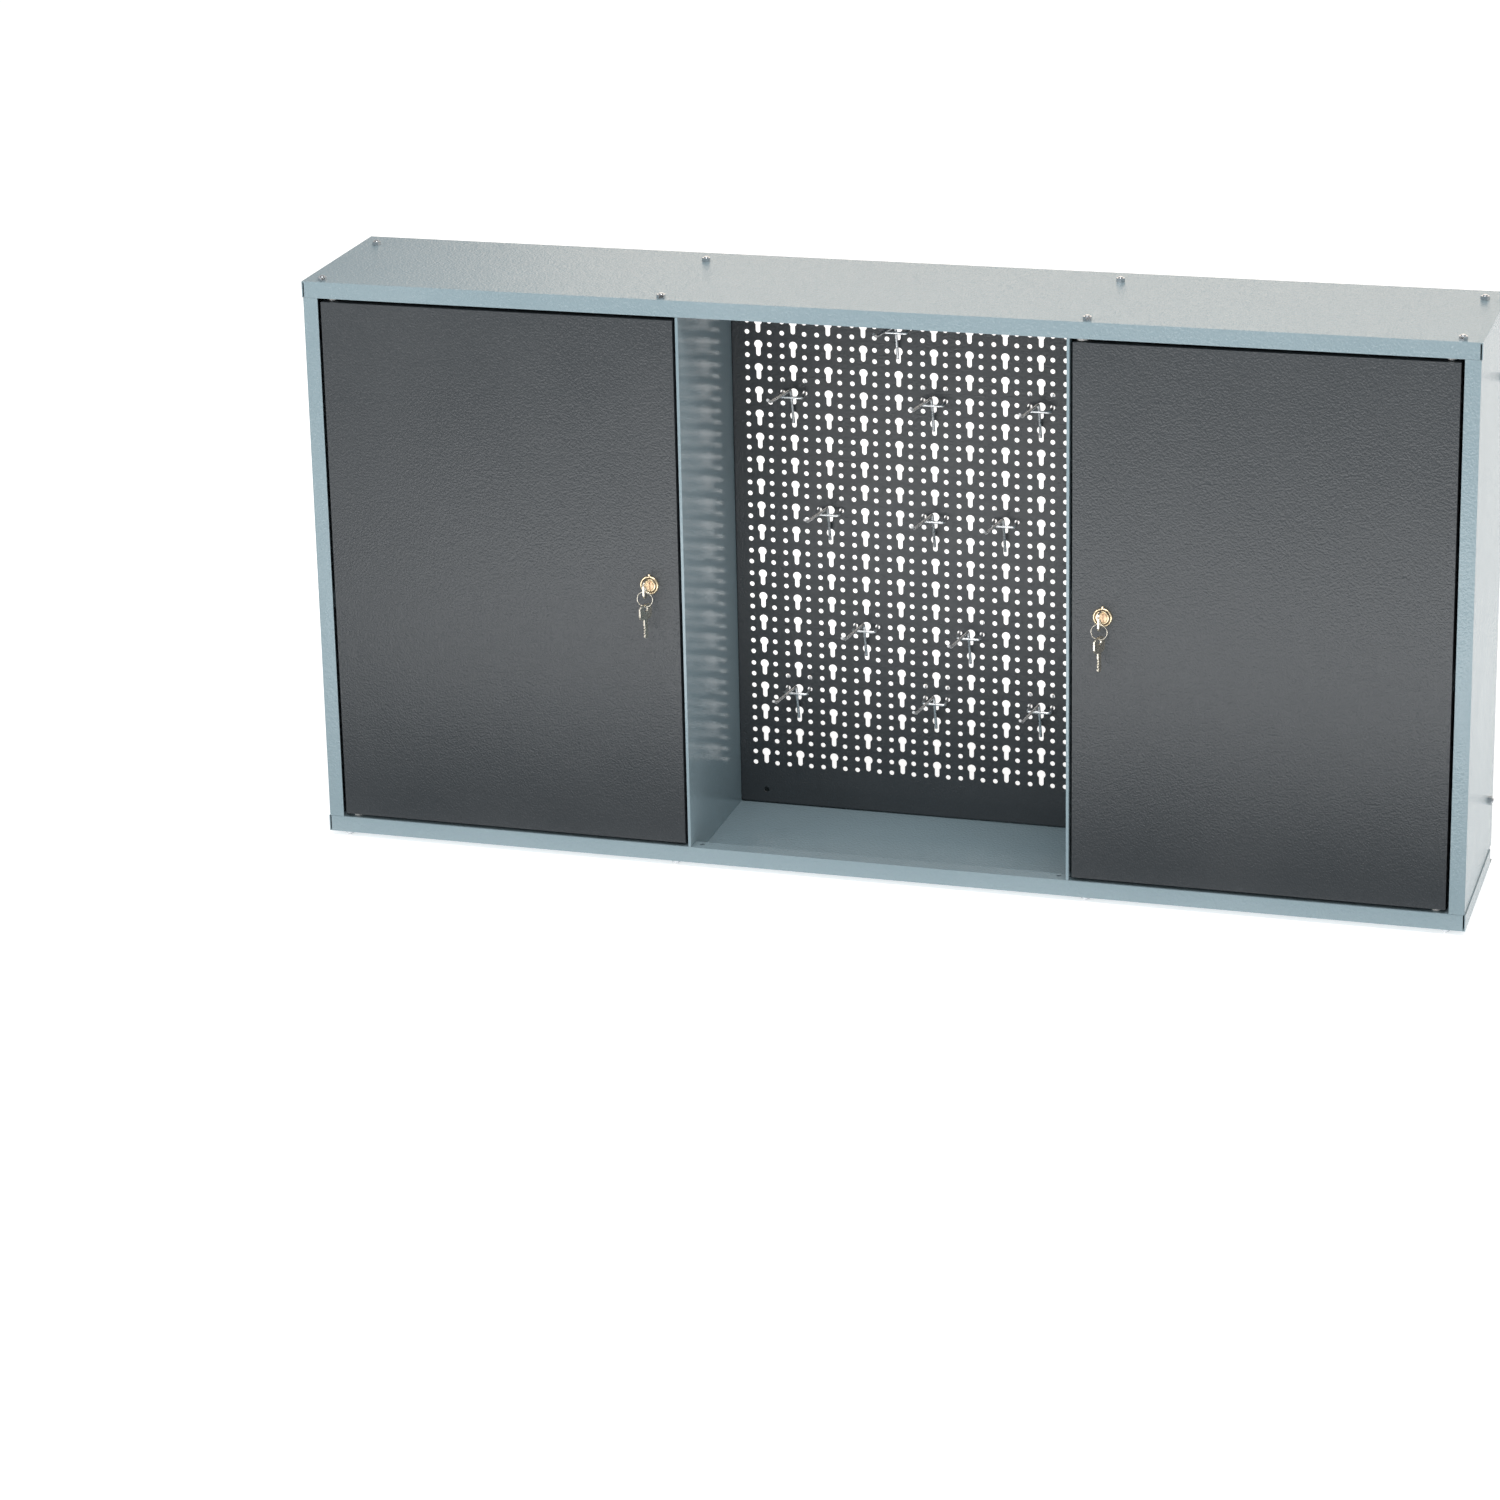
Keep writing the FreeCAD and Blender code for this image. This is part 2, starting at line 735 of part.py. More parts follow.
def hole_plug(label):
    """The plug that closes one unused hinge hole."""
    centre = (divider_place + spare_hole_outset, hinge_line)
    low = rim_level - plug_head_height
    head = rod("z", centre, plug_head_width, (low, rim_level))
    spigot = rod("z", centre, plug_spigot_width, (low, rim_level + plug_spigot_height))
    keep(label, fused([head, spigot]))


for side_name, side_sign in SIDES.items():
    door(f"{side_name}_door", side_sign)
    for level_name, level_sign in (("upper", 1), ("lower", -1)):
        hinge_pin(f"{side_name}_{level_name}_hinge_pin", side_sign, level_sign)
        hinge_bush(f"{side_name}_{level_name}_hinge_bush", side_sign, level_sign)
hole_plug("hinge_hole_plug")


# Cam lock: housing and nut on the door; core, cam, screw and key turn together
def lock(side_name, side):
    centre = (lock_place * side, ZERO)
    face = front - rosette_height
    housing = [
        rod("y", centre, rosette_width, (face, front)),
        rod("y", centre, barrel_width, (face, front + barrel_length)),
        box(
            (centre[0] - rosette_mark / 2, centre[0] + rosette_mark / 2),
            (face, front),
            (ZERO, rosette_width / 2 + rosette_mark),
        ),
    ]
    bore = (face - cut_over, front + barrel_length + cut_over)
    bored = rod("y", centre, core_width + core_play * 2, bore)
    keep(f"{side_name}_lock_housing", drilled(fused(housing), [bored]))

    seat = front + gauge
    threaded = hexagon("y", centre, lock_nut_across_flats, (seat, seat + lock_nut_height))
    nut_bore = (seat - cut_over, seat + lock_nut_height + cut_over)
    thread = rod("y", centre, barrel_width + thread_play * 2, nut_bore)
    keep(f"{side_name}_lock_nut", drilled(threaded, [thread]))

    nose = face - core_stand
    key_tip = front - key_stand + key_bow_length + key_blade_length
    core = fused([
        rod("y", centre, core_width, (nose, cam_face)),
        rod("y", centre, core_boss_width, (nose, cam_back)),
    ])
    keyway = box(
        (centre[0] - key_thickness / 2 - keyway_play, centre[0] + key_thickness / 2 + keyway_play),
        (nose - cut_over, key_tip + keyway_play),
        across(key_blade_width / 2 + keyway_play),
    )
    tapped = (cam_back - cam_screw_length, cam_back + cut_over)
    screw_hole = rod("y", centre, cam_screw_width + thread_play * 2, tapped)
    keep(f"{side_name}_lock_core", drilled(core, [keyway, screw_hole]))

    hub = rod("y", centre, cam_hub_width, (cam_face, cam_back))
    arm_x = (centre[0] - cam_width / 2, centre[0] + cam_width / 2)
    arm = box(arm_x, (cam_face, cam_back), (ZERO, cam_reach))
    cam_bore = (cam_face - cut_over, cam_back + cut_over)
    cam_hole = rod("y", centre, core_boss_width + thread_play * 2, cam_bore)
    keep(f"{side_name}_lock_cam", drilled(fused([hub, arm]), [cam_hole]))

    screw = fused([
        rod("y", centre, cam_screw_head_width, (cam_back, cam_back + cam_screw_head_height)),
        rod("y", centre, cam_screw_width, (cam_back - cam_screw_length, cam_back + cam_screw_head_height)),
    ])
    keep(f"{side_name}_cam_screw", screw)


# Key: a filleted bow with a hole for the ring, and a notched blade. It points along Y, X is its thickness
NOTCH_PLACE_SHARES = (0.38, 0.52, 0.66, 0.8)
NOTCH_DEPTH_SHARES = (0.2, 0.3, 0.15, 0.25)
NOTCH_WIDTH_SHARE = 0.05
TIP_SHARE = 0.25
SPARE_KEY_TURN = 21


def blade_outline():
    half = key_blade_width / 2
    start = key_bow_length / 2
    end = key_bow_length + key_blade_length
    slope = key_blade_width * TIP_SHARE
    corners = [(start, -half)]
    for place_share, depth_share in zip(NOTCH_PLACE_SHARES, NOTCH_DEPTH_SHARES):
        middle = key_bow_length + key_blade_length * place_share
        notch = key_blade_length * NOTCH_WIDTH_SHARE
        corners.append((middle - notch, -half))
        corners.append((middle, key_blade_width * depth_share - half))
        corners.append((middle + notch, -half))
    corners += [(end - slope, -half), (end, slope - half)]
    corners += [(end, half - slope), (end - slope, half), (start, half)]
    return corners


def key(label):
    half = key_bow_width / 2
    under = -key_thickness / 2
    bow_corners = [(ZERO, -half), (key_bow_length, -half), (key_bow_length, half), (ZERO, half)]
    body = padded(label, "YZ_Plane", bow_corners, under, key_thickness)
    bow = body.Tip
    doc.recompute()
    upright = []
    for number, edge in enumerate(bow.Shape.Edges, start=1):
        if abs(edge.tangentAt(edge.FirstParameter).x) > 1 - 1e-6:
            upright.append(f"Edge{number}")
    rounded = body.newObject("PartDesign::Fillet", f"{label}_corners")
    rounded.Base = (bow, upright)
    rounded.setExpression("Radius", text_of(key_bow_corner))
    body.Tip = rounded
    blade_sketch = drawn(body, "YZ_Plane", blade_outline(), f"{label}_blade_outline", under)
    blade = body.newObject("PartDesign::Pad", f"{label}_blade")
    blade.Profile = blade_sketch
    blade.setExpression("Length", text_of(key_thickness))
    body.Tip = blade
    ring_hole = rod("x", (key_hole_inset, ZERO), key_hole_width, across(key_thickness))
    return drilled(body, [ring_hole])


def keys_and_ring(side_name, side):
    middle = lock_place * side
    hole_line = front - key_stand + key_hole_inset
    sag = key_hole_width / 2 - ring_wire_width / 2 - ring_play
    lock_key = key(f"{side_name}_lock_key")
    place(lock_key, (middle, front - key_stand, ZERO))
    keep(f"{side_name}_lock_key", lock_key)

    ring = doc.addObject("Part::Torus", "ring")
    ring.Placement.Rotation = TURNS["y"]
    ring.setExpression("Radius1", text_of(ring_radius))
    ring.setExpression("Radius2", text_of(ring_wire_width / 2))
    place(ring, (middle, hole_line, -sag - ring_radius))
    keep(f"{side_name}_key_ring", ring)

    spare_key = key(f"{side_name}_spare_key")
    downwards = FreeCAD.Rotation(FreeCAD.Vector(1, 0, 0), -90)
    aside = FreeCAD.Rotation(FreeCAD.Vector(0, 0, 1), -SPARE_KEY_TURN)
    spare_key.Placement.Rotation = aside * downwards
    place(spare_key, (middle, hole_line, key_hole_inset - sag * 2 - ring_radius * 2))
    keep(f"{side_name}_spare_key", spare_key)


for side_name, side_sign in SIDES.items():
    lock(side_name, side_sign)
    keys_and_ring(side_name, side_sign)


# Wire hooks: a U-shaped clip through the perforation, and a prong whose leg is welded behind its bar
# Each hook's column and row, as shares of the last column and of the last row
HOOK_PLACE_SHARES = (
    (0.44, 0), (0.11, 0.16), (0.56, 0.16), (0.89, 0.16),
    (0.22, 0.42), (0.56, 0.42), (0.78, 0.42),
    (0.33, 0.68), (0.67, 0.68),
    (0.11, 0.84), (0.56, 0.84), (0.89, 0.84),
)


def bent_wire(points, bend, width):
    """A round wire along straight runs, with an arc of the given radius at each inner point."""
    edges = []
    start = points[0]
    for before, corner, after in zip(points, points[1:], points[2:]):
        inward = (before - corner).normalize()
        onward = (after - corner).normalize()
        half_angle = inward.getAngle(onward) / 2
        reach = bend / math.tan(half_angle)
        first = corner + inward * reach
        last = corner + onward * reach
        bisector = (inward + onward).normalize()
        middle = corner + bisector * (bend / math.sin(half_angle) - bend)
        edges.append(Part.LineSegment(start, first).toShape())
        edges.append(Part.Arc(first, middle, last).toShape())
        start = last
    edges.append(Part.LineSegment(start, points[-1]).toShape())
    section = Part.Circle(points[0], points[1] - points[0], width / 2)
    return Part.Wire(edges).makePipeShell([Part.Wire(section.toShape())], True, False)


def hook_shape():
    width = hook_wire_width.value
    side = small_hole_side.value
    behind = gauge.value + hook_play.value + width / 2
    stand = hook_stand.value
    reach = prong_reach.value
    rise = prong_rise.value
    bar_level = -hook_bar_drop.value
    foot = hook_play.value + width / 2
    foot_level = -hook_leg_drop.value
    weld_place = stand - width + hook_weld.value
    slope = (weld_place - foot) / (bar_level - foot_level)
    leg_level = hook_leg_rise.value
    lean = foot + slope * (leg_level - foot_level)
    clip = [
        FreeCAD.Vector(-side, behind, hook_tail.value),
        FreeCAD.Vector(-side, behind, 0),
        FreeCAD.Vector(-side, -stand, bar_level),
        FreeCAD.Vector(side, -stand, bar_level),
        FreeCAD.Vector(side, behind, 0),
        FreeCAD.Vector(side, behind, hook_tail.value),
    ]
    prong = [
        FreeCAD.Vector(0, -foot, foot_level),
        FreeCAD.Vector(0, -lean, leg_level),
        FreeCAD.Vector(0, -reach, rise),
        FreeCAD.Vector(0, -reach - prong_tip_reach.value, rise + prong_tip_rise.value),
    ]
    clip_wire = bent_wire(clip, hook_bend.value, width)
    prong_wire = bent_wire(prong, prong_bend.value, width)
    return clip_wire.fuse(prong_wire)


welded_hook = hook_shape()
for hook_number, (column_share, row_share) in enumerate(HOOK_PLACE_SHARES, start=1):
    hook_x = peg_column(round(column_share * (PEG_COLUMNS - 1)))
    hook_z = peg_row(round(row_share * (PEG_ROWS - 1)))
    hook = doc.addObject("Part::Feature", "hook")
    hook.Shape = welded_hook.copy()
    hook.Placement.Base = FreeCAD.Vector(hook_x, back_face.value, hook_z)
    keep(f"tool_hook_{hook_number:02d}", hook)


# Every object has to be sound before a sub-part is written
doc.recompute()
for item in doc.Objects:
    if "Invalid" in item.State or "Error" in item.State:
        raise RuntimeError(f"{item.Label}: {item.State}")
os.makedirs("parts", exist_ok=True)
for label, item in sub_parts.items():
    shape = item.Shape
    if shape.isNull() or not shape.isValid():
        raise RuntimeError(f"{label}: the shape is null or not valid")
    shape.exportStep(f"parts/{label}.step")
    box_size = shape.BoundBox
    print(f"{label}: {len(shape.Solids)} solids, volume {shape.Volume:.1f},"
          f" X {box_size.XMin:.1f} to {box_size.XMax:.1f},"
          f" Y {box_size.YMin:.1f} to {box_size.YMax:.1f},"
          f" Z {box_size.ZMin:.1f} to {box_size.ZMax:.1f}")
print(f"{len(sub_parts)} sub-parts")
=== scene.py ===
# %% [markdown]
# # A wall tool cabinet, dressed in Blender
#
# The cabinet is folded sheet steel: a pale blue-grey case, two dark doors with cam locks, and an open
# middle bay with a perforated panel and wire hooks. The pieces arrive at their real size from the packed
# model, in metres, so this lesson only adds what the eye needs: rounded folds, paint relief, plated wire,
# chamfered nuts and struck keys. The frame is loaded first, because every later piece is measured from it.

# %% Load the fixed frame
import json
import math

import bmesh
import bpy
from mathutils import Matrix, Vector

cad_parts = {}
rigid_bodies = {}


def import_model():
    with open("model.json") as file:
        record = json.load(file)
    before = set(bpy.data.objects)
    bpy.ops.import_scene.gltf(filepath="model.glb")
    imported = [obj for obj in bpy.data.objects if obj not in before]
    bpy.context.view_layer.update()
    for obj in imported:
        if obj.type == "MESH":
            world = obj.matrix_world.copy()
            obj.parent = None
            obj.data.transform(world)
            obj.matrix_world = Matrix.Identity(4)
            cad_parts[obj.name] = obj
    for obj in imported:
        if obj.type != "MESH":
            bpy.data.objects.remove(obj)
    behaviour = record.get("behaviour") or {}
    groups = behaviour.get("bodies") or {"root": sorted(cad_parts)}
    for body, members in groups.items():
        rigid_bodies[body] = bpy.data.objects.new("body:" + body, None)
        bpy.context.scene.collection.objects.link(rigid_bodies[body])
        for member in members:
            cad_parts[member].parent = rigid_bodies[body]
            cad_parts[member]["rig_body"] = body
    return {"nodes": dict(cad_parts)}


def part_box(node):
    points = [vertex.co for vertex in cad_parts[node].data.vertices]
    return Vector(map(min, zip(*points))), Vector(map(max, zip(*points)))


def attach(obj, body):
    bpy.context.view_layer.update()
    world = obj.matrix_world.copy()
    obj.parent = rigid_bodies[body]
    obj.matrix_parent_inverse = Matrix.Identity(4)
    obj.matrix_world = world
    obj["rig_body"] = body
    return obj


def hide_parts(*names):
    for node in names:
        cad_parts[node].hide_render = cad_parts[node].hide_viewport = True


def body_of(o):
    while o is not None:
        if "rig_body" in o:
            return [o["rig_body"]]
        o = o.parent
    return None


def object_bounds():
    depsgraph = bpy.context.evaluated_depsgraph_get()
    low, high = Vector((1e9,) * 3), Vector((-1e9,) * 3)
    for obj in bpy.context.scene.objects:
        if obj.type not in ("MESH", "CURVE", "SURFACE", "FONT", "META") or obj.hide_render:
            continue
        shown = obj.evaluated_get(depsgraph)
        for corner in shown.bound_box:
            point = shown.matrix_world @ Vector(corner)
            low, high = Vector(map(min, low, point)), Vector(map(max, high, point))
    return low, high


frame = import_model()
frame_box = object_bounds()
print("box of the frame in metres:", frame_box)

MM = 0.001
SIDES = {"left": -1, "right": 1}


def low_corner(node):
    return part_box(node)[0]


def high_corner(node):
    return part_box(node)[1]


def middle_of(node):
    low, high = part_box(node)
    return (low + high) / 2


# %% [markdown]
# ## Camera
#
# The photograph looks slightly down at the cabinet from the right. Its viewpoint was fitted to the seven
# outer corners of the case that show, and to places on the doors and the panel that follow from those seven,
# so the camera is given by a place, three angles and a focal length in pixels of a 1500-pixel frame. The
# upright edges stay nearly upright, which a small lens shift gives without turning the camera.

# %% Set the camera
FRAME_PIXELS = 1500
FOCAL_PIXELS = 4510
CENTRE_PIXELS = (675, 600)
SENSOR_WIDTH = 36.0
CAMERA_PLACE = Vector((1.119, -4.359, 1.411))
CAMERA_AZIMUTH = math.radians(-17.70)
CAMERA_ELEVATION = math.radians(18.08)
CAMERA_ROLL = math.radians(-1.53)


def camera_axes(azimuth, elevation, roll):
    """The right, up and forward directions of a camera with these angles."""
    level = math.cos(elevation)
    forward = Vector((math.sin(azimuth) * level, math.cos(azimuth) * level, -math.sin(elevation)))
    right = forward.cross(Vector((0, 0, 1))).normalized()
    up = right.cross(forward)
    turned_right = math.cos(roll) * right + math.sin(roll) * up
    turned_up = math.cos(roll) * up - math.sin(roll) * right
    return turned_right, turned_up, forward


def place_camera():
    lens = bpy.data.cameras.new("camera_lens")
    lens.sensor_width = SENSOR_WIDTH
    lens.lens = FOCAL_PIXELS / FRAME_PIXELS * SENSOR_WIDTH
    lens.shift_x = (FRAME_PIXELS / 2 - CENTRE_PIXELS[0]) / FRAME_PIXELS
    lens.shift_y = (CENTRE_PIXELS[1] - FRAME_PIXELS / 2) / FRAME_PIXELS
    camera = bpy.data.objects.new("camera", lens)
    bpy.context.scene.collection.objects.link(camera)
    right, up, forward = camera_axes(CAMERA_AZIMUTH, CAMERA_ELEVATION, CAMERA_ROLL)
    turn = Matrix((right, up, -forward)).transposed().to_4x4()
    camera.matrix_world = Matrix.Translation(CAMERA_PLACE) @ turn
    bpy.context.scene.camera = camera
    return camera


camera = place_camera()
print("lens in mm:", round(camera.data.lens, 1), "shift:", camera.data.shift_x, camera.data.shift_y)

# %% [markdown]
# ## Stage and light
#
# A studio shot of painted steel lives from what the paint mirrors, so the stage is built like a product
# table. The floor is opal and glows a little by itself, which keeps it white round the cabinet. A soft key
# from the left, a little above the cabinet, gives the short shadows of the hooks and keys. An overhead lamp
# in front lights the top and the bay, and a warm lamp behind turns the top and the right side nearly white
# at their grazing angle. The doors mirror the floor before them: a low glow there gives their soft sheen,
# and two dark flags, one near and one far, end it below and above. Glow and flags are seen only in
# reflections. The Standard view keeps white paper white.

# %% Make the floor and the world
FLOOR_REACH = 14.0
FLOOR_CLEARANCE = 0.5 * MM
FLOOR_LEVEL = frame_box[0][2] - FLOOR_CLEARANCE
FLOOR_TONE = 0.82
FLOOR_ROUGHNESS = 0.9
FLOOR_GLOW = 0.58
SKY_STRENGTH = 0.5


def grey(tone):
    return (tone, tone, tone, 1)


def set_inputs(node, values):
    for label, value in values.items():
        node.inputs[label].default_value = value


def flat_sheet(name, low_x, high_x, low_y, high_y, level):
    """A stage rectangle that lies level."""
    mesh = bpy.data.meshes.new(name)
    corners = [(low_x, low_y), (high_x, low_y), (high_x, high_y), (low_x, high_y)]
    mesh.from_pydata([(x, y, level) for x, y in corners], [], [(0, 1, 2, 3)])
    sheet = bpy.data.objects.new(name, mesh)
    bpy.context.scene.collection.objects.link(sheet)
    material = bpy.data.materials.new(f"{name}_surface")
    material.use_nodes = True
    mesh.materials.append(material)
    return sheet, material.node_tree.nodes["Principled BSDF"]


def make_floor():
    floor, opal = flat_sheet("floor", -FLOOR_REACH, FLOOR_REACH, -FLOOR_REACH, FLOOR_REACH, FLOOR_LEVEL)
    set_inputs(opal, {"Base Color": grey(FLOOR_TONE), "Roughness": FLOOR_ROUGHNESS})
    set_inputs(opal, {"Emission Color": grey(1), "Emission Strength": FLOOR_GLOW})
    return floor


def make_world(strength):
    world = bpy.data.worlds.new("studio")
    world.use_nodes = True
    set_inputs(world.node_tree.nodes["Background"], {"Color": grey(1), "Strength": strength})
    bpy.context.scene.world = world
    bpy.context.scene.view_settings.view_transform = "Standard"


print("stage:", make_floor().name, "at", round(FLOOR_LEVEL, 4))
make_world(SKY_STRENGTH)

# %% Make the lamps and the flags
WHITE = (1.0, 1.0, 1.0)
WARM = (1.0, 0.86, 0.72)
LAMPS = {
    # place, target, size in metres, power in watts, tint
    "key_lamp": ((-2.9, -3.2, 1.3), (0, 0, 0), (1.5, 1.5), 42, WHITE),
    "overhead_lamp": ((0.5, -1.7, 2.7), (0, 0, -0.1), (2.6, 1.2), 70, WHITE),
    "back_lamp": ((1.2, 3.1, 1.3), (0.1, 0, 0.2), (6.9, 1.6), 41, WARM),
}
GLOW_CENTRE = (0.1, -1.0)
GLOW_LIFT = 4 * MM
GLOW_SIZE = (1.8, 0.75)
GLOW_POWER = 10
FLAGS = {
    # low and high X, low and high Y
    "near_flag": (-1.1, 0.9, -0.62, -0.24),
    "far_flag": (-3.0, 2.0, -6.0, -1.5),
}
FLAG_LIFT = 2 * MM
FLAG_TONE = 0.03


def soft_lamp(name, place, target, size, power, tint):
    """A rectangular lamp that faces its target and isn't seen itself."""
    lamp = bpy.data.lights.new(name, "AREA")
    lamp.shape = "RECTANGLE"
    lamp.size, lamp.size_y = size
    lamp.energy = power
    lamp.color = tint
    item = bpy.data.objects.new(name, lamp)
    bpy.context.scene.collection.objects.link(item)
    direction = Vector(target) - Vector(place)
    turn = direction.to_track_quat("-Z", "Y").to_matrix().to_4x4()
    item.matrix_world = Matrix.Translation(Vector(place)) @ turn
    item.visible_camera = False
    return item


def only_mirrored(item):
    """Leaves a stage piece or lamp to reflections alone."""
    item.visible_camera = False
    item.visible_diffuse = False
    item.visible_shadow = False


def dark_flag(name, low_x, high_x, low_y, high_y):
    flag, felt = flat_sheet(name, low_x, high_x, low_y, high_y, FLOOR_LEVEL + FLAG_LIFT)
    set_inputs(felt, {"Base Color": grey(FLAG_TONE), "Roughness": 1.0})
    only_mirrored(flag)


for name, settings in LAMPS.items():
    soft_lamp(name, *settings)
glow_place = (*GLOW_CENTRE, FLOOR_LEVEL + GLOW_LIFT)
only_mirrored(soft_lamp("door_glow", glow_place, (*GLOW_CENTRE, 1), GLOW_SIZE, GLOW_POWER, WHITE))
for name, rectangle in FLAGS.items():
    dark_flag(name, *rectangle)
print("lamps:", [lamp.name for lamp in bpy.data.lights])

# %% [markdown]
# ## Helpers for node trees
#
# Shader trees and Geometry Nodes trees are built alike: a node is added, its settings are chosen, and each
# input gets a value or a link. One helper does that for both, and two short forms of it return the node's
# first output and what a Math node reckons. A last one opens a tree with its own named sockets, so that
# every size of a pattern can be set from outside.

# %% Helpers that build node trees
SOCKETS = {
    "value": "NodeSocketFloat",
    "count": "NodeSocketInt",
    "geometry": "NodeSocketGeometry",
    "object": "NodeSocketObject",
}


def add(tree, kind, inputs=None, **settings):
    """A new node. Each input is given a value, a socket that feeds it, or a list of such sockets."""
    item = tree.nodes.new(kind)
    for name, value in settings.items():
        setattr(item, name, value)
    for name, value in (inputs or {}).items():
        feeds = value if isinstance(value, list) else [value]
        for feed in feeds:
            if isinstance(feed, bpy.types.NodeSocket):
                tree.links.new(feed, item.inputs[name])
            else:
                item.inputs[name].default_value = feed
    return item


def made(tree, kind, inputs=None, **settings):
    """The first output of a new node."""
    return add(tree, kind, inputs, **settings).outputs[0]


def reckoned(tree, operation, first, second):
    """What a Math node makes of two numbers, each a value or a socket."""
    return made(tree, "ShaderNodeMath", {0: first, 1: second}, operation=operation)


def new_tree(name, kind, inputs, outputs):
    """A node group with named sockets. Returns the tree, the node that feeds it and the one that ends it."""
    tree = bpy.data.node_groups.new(name, kind)
    for direction, sockets in (("INPUT", inputs), ("OUTPUT", outputs)):
        for label, socket in sockets.items():
            tree.interface.new_socket(label, in_out=direction, socket_type=SOCKETS[socket])
    return tree, tree.nodes.new("NodeGroupInput"), tree.nodes.new("NodeGroupOutput")


print("socket kinds:", sorted(SOCKETS))

# %% [markdown]
# ## The relief of powder paint
#
# Textured powder paint isn't smooth: it cures in small swollen cells, like fine leather. Painting that with
# an image would need a UV map on every panel. A procedural height is simpler, because it follows Object
# coordinates and has one scale in every piece. Both paints use it, so it is a shader group: rounded
# Voronoi cells give the leather, a finer noise breaks them up, and a slow noise is put out as a mottle that
# varies gloss and colour by a few percent.

# %% Shader group for the relief of the paint
CRUMB_FINENESS = 2.3
CRUMB_DETAIL = 2.0
MOTTLE_CLOUDS_PER_METRE = 9.0
MOTTLE_DETAIL = 3.0


def paint_relief_group():
    tree, feed, out = new_tree(
        "paint_relief",
        "ShaderNodeTree",
        {"Cells per metre": "value", "Crumb": "value"},
        {"Height": "value", "Mottle": "value"},
    )
    place = add(tree, "ShaderNodeTexCoord").outputs["Object"]
    cells_per_metre = feed.outputs["Cells per metre"]
    leather = {"Vector": place, "Scale": cells_per_metre}
    cells = add(tree, "ShaderNodeTexVoronoi", leather, feature="SMOOTH_F1").outputs["Distance"]
    finer = reckoned(tree, "MULTIPLY", cells_per_metre, CRUMB_FINENESS)
    crumb = made(tree, "ShaderNodeTexNoise", {"Vector": place, "Scale": finer, "Detail": CRUMB_DETAIL})
    share = reckoned(tree, "MULTIPLY", crumb, feed.outputs["Crumb"])
    height = reckoned(tree, "SUBTRACT", share, cells)
    slow = {"Vector": place, "Scale": MOTTLE_CLOUDS_PER_METRE, "Detail": MOTTLE_DETAIL}
    mottle = made(tree, "ShaderNodeTexNoise", slow)
    tree.links.new(height, out.inputs["Height"])
    tree.links.new(mottle, out.inputs["Mottle"])
    return tree


paint_relief = paint_relief_group()
print("group:", paint_relief.name, "nodes:", len(paint_relief.nodes))

# %% [markdown]
# ## Paints and metals
#
# The case is pale blue-grey and the doors and panel are anthracite. Both are semi-gloss, so their colour
# stays in Base Color while the relief goes to a Bump node. The dividers have the same blue-grey in a
# smoother and glossier coat, which mirrors the rows of holes. Zinc, nickel and brass are metals: colour is
# what they mirror, and what changes over them is their tint and gloss, in small clouds for plated parts and
# in fine scratches for the keys. The groove of the lock's face gets a dark brass, which is painted shade,
# and its plug is of rose brass.

# %% Materials
PLATE_DETAIL = 4.0
GRAIN_DETAIL = 3.0
MOULDED_ROUGHNESS = (0.38, 0.52)


def shader(name):
    """A new material. Returns it with its tree and its Principled BSDF."""
    material = bpy.data.materials.new(name)
    material.use_nodes = True
    return material, material.node_tree, material.node_tree.nodes["Principled BSDF"]


def varied(tree, surface, mask, dark, light, roughness):
    """Gives a surface a colour and a roughness, each between two and chosen by a mask."""
    mix = add(tree, "ShaderNodeMix", {0: mask}, data_type="RGBA")
    low, high = [socket for socket in mix.inputs if socket.type == "RGBA"]
    low.default_value = (*dark, 1)
    high.default_value = (*light, 1)
    colour = next(socket for socket in mix.outputs if socket.type == "RGBA")
    tree.links.new(colour, surface.inputs["Base Color"])
    smooth, rough = roughness
    gloss = made(tree, "ShaderNodeMapRange", {"Value": mask, "To Min": smooth, "To Max": rough})
    tree.links.new(gloss, surface.inputs["Roughness"])


def bumped(tree, surface, height, relief):
    """Gives a surface a relief in metres."""
    bump = made(tree, "ShaderNodeBump", {"Height": height, "Distance": relief})
    tree.links.new(bump, surface.inputs["Normal"])


def powder_paint(name, dark, light, cells_per_metre, crumb, relief, roughness):
    """Semi-gloss powder paint with a relief in metres."""
    material, tree, surface = shader(name)
    cells = {"Cells per metre": cells_per_metre, "Crumb": crumb}
    coat = add(tree, "ShaderNodeGroup", cells, node_tree=paint_relief).outputs
    varied(tree, surface, coat["Mottle"], dark, light, roughness)
    bumped(tree, surface, coat["Height"], relief)
    return material


def plated(name, dark, light, clouds_per_metre, roughness, stretch=(1, 1, 1)):
    """A plated or turned metal, whose tint and gloss change in clouds or, when stretched, in scratches."""
    material, tree, surface = shader(name)
    place = add(tree, "ShaderNodeTexCoord").outputs["Object"]
    drawn = made(tree, "ShaderNodeMapping", {"Vector": place, "Scale": stretch})
    pattern = {"Vector": drawn, "Scale": clouds_per_metre, "Detail": PLATE_DETAIL}
    varied(tree, surface, made(tree, "ShaderNodeTexNoise", pattern), dark, light, roughness)
    surface.inputs["Metallic"].default_value = 1.0
    return material


def moulded(name, dark, light, grain_per_metre, relief):
    """A moulded plastic with a faint grain."""
    material, tree, surface = shader(name)
    place = add(tree, "ShaderNodeTexCoord").outputs["Object"]
    pattern = {"Vector": place, "Scale": grain_per_metre, "Detail": GRAIN_DETAIL}
    grain = made(tree, "ShaderNodeTexNoise", pattern)
    varied(tree, surface, grain, dark, light, MOULDED_ROUGHNESS)
    bumped(tree, surface, grain, relief)
    return material


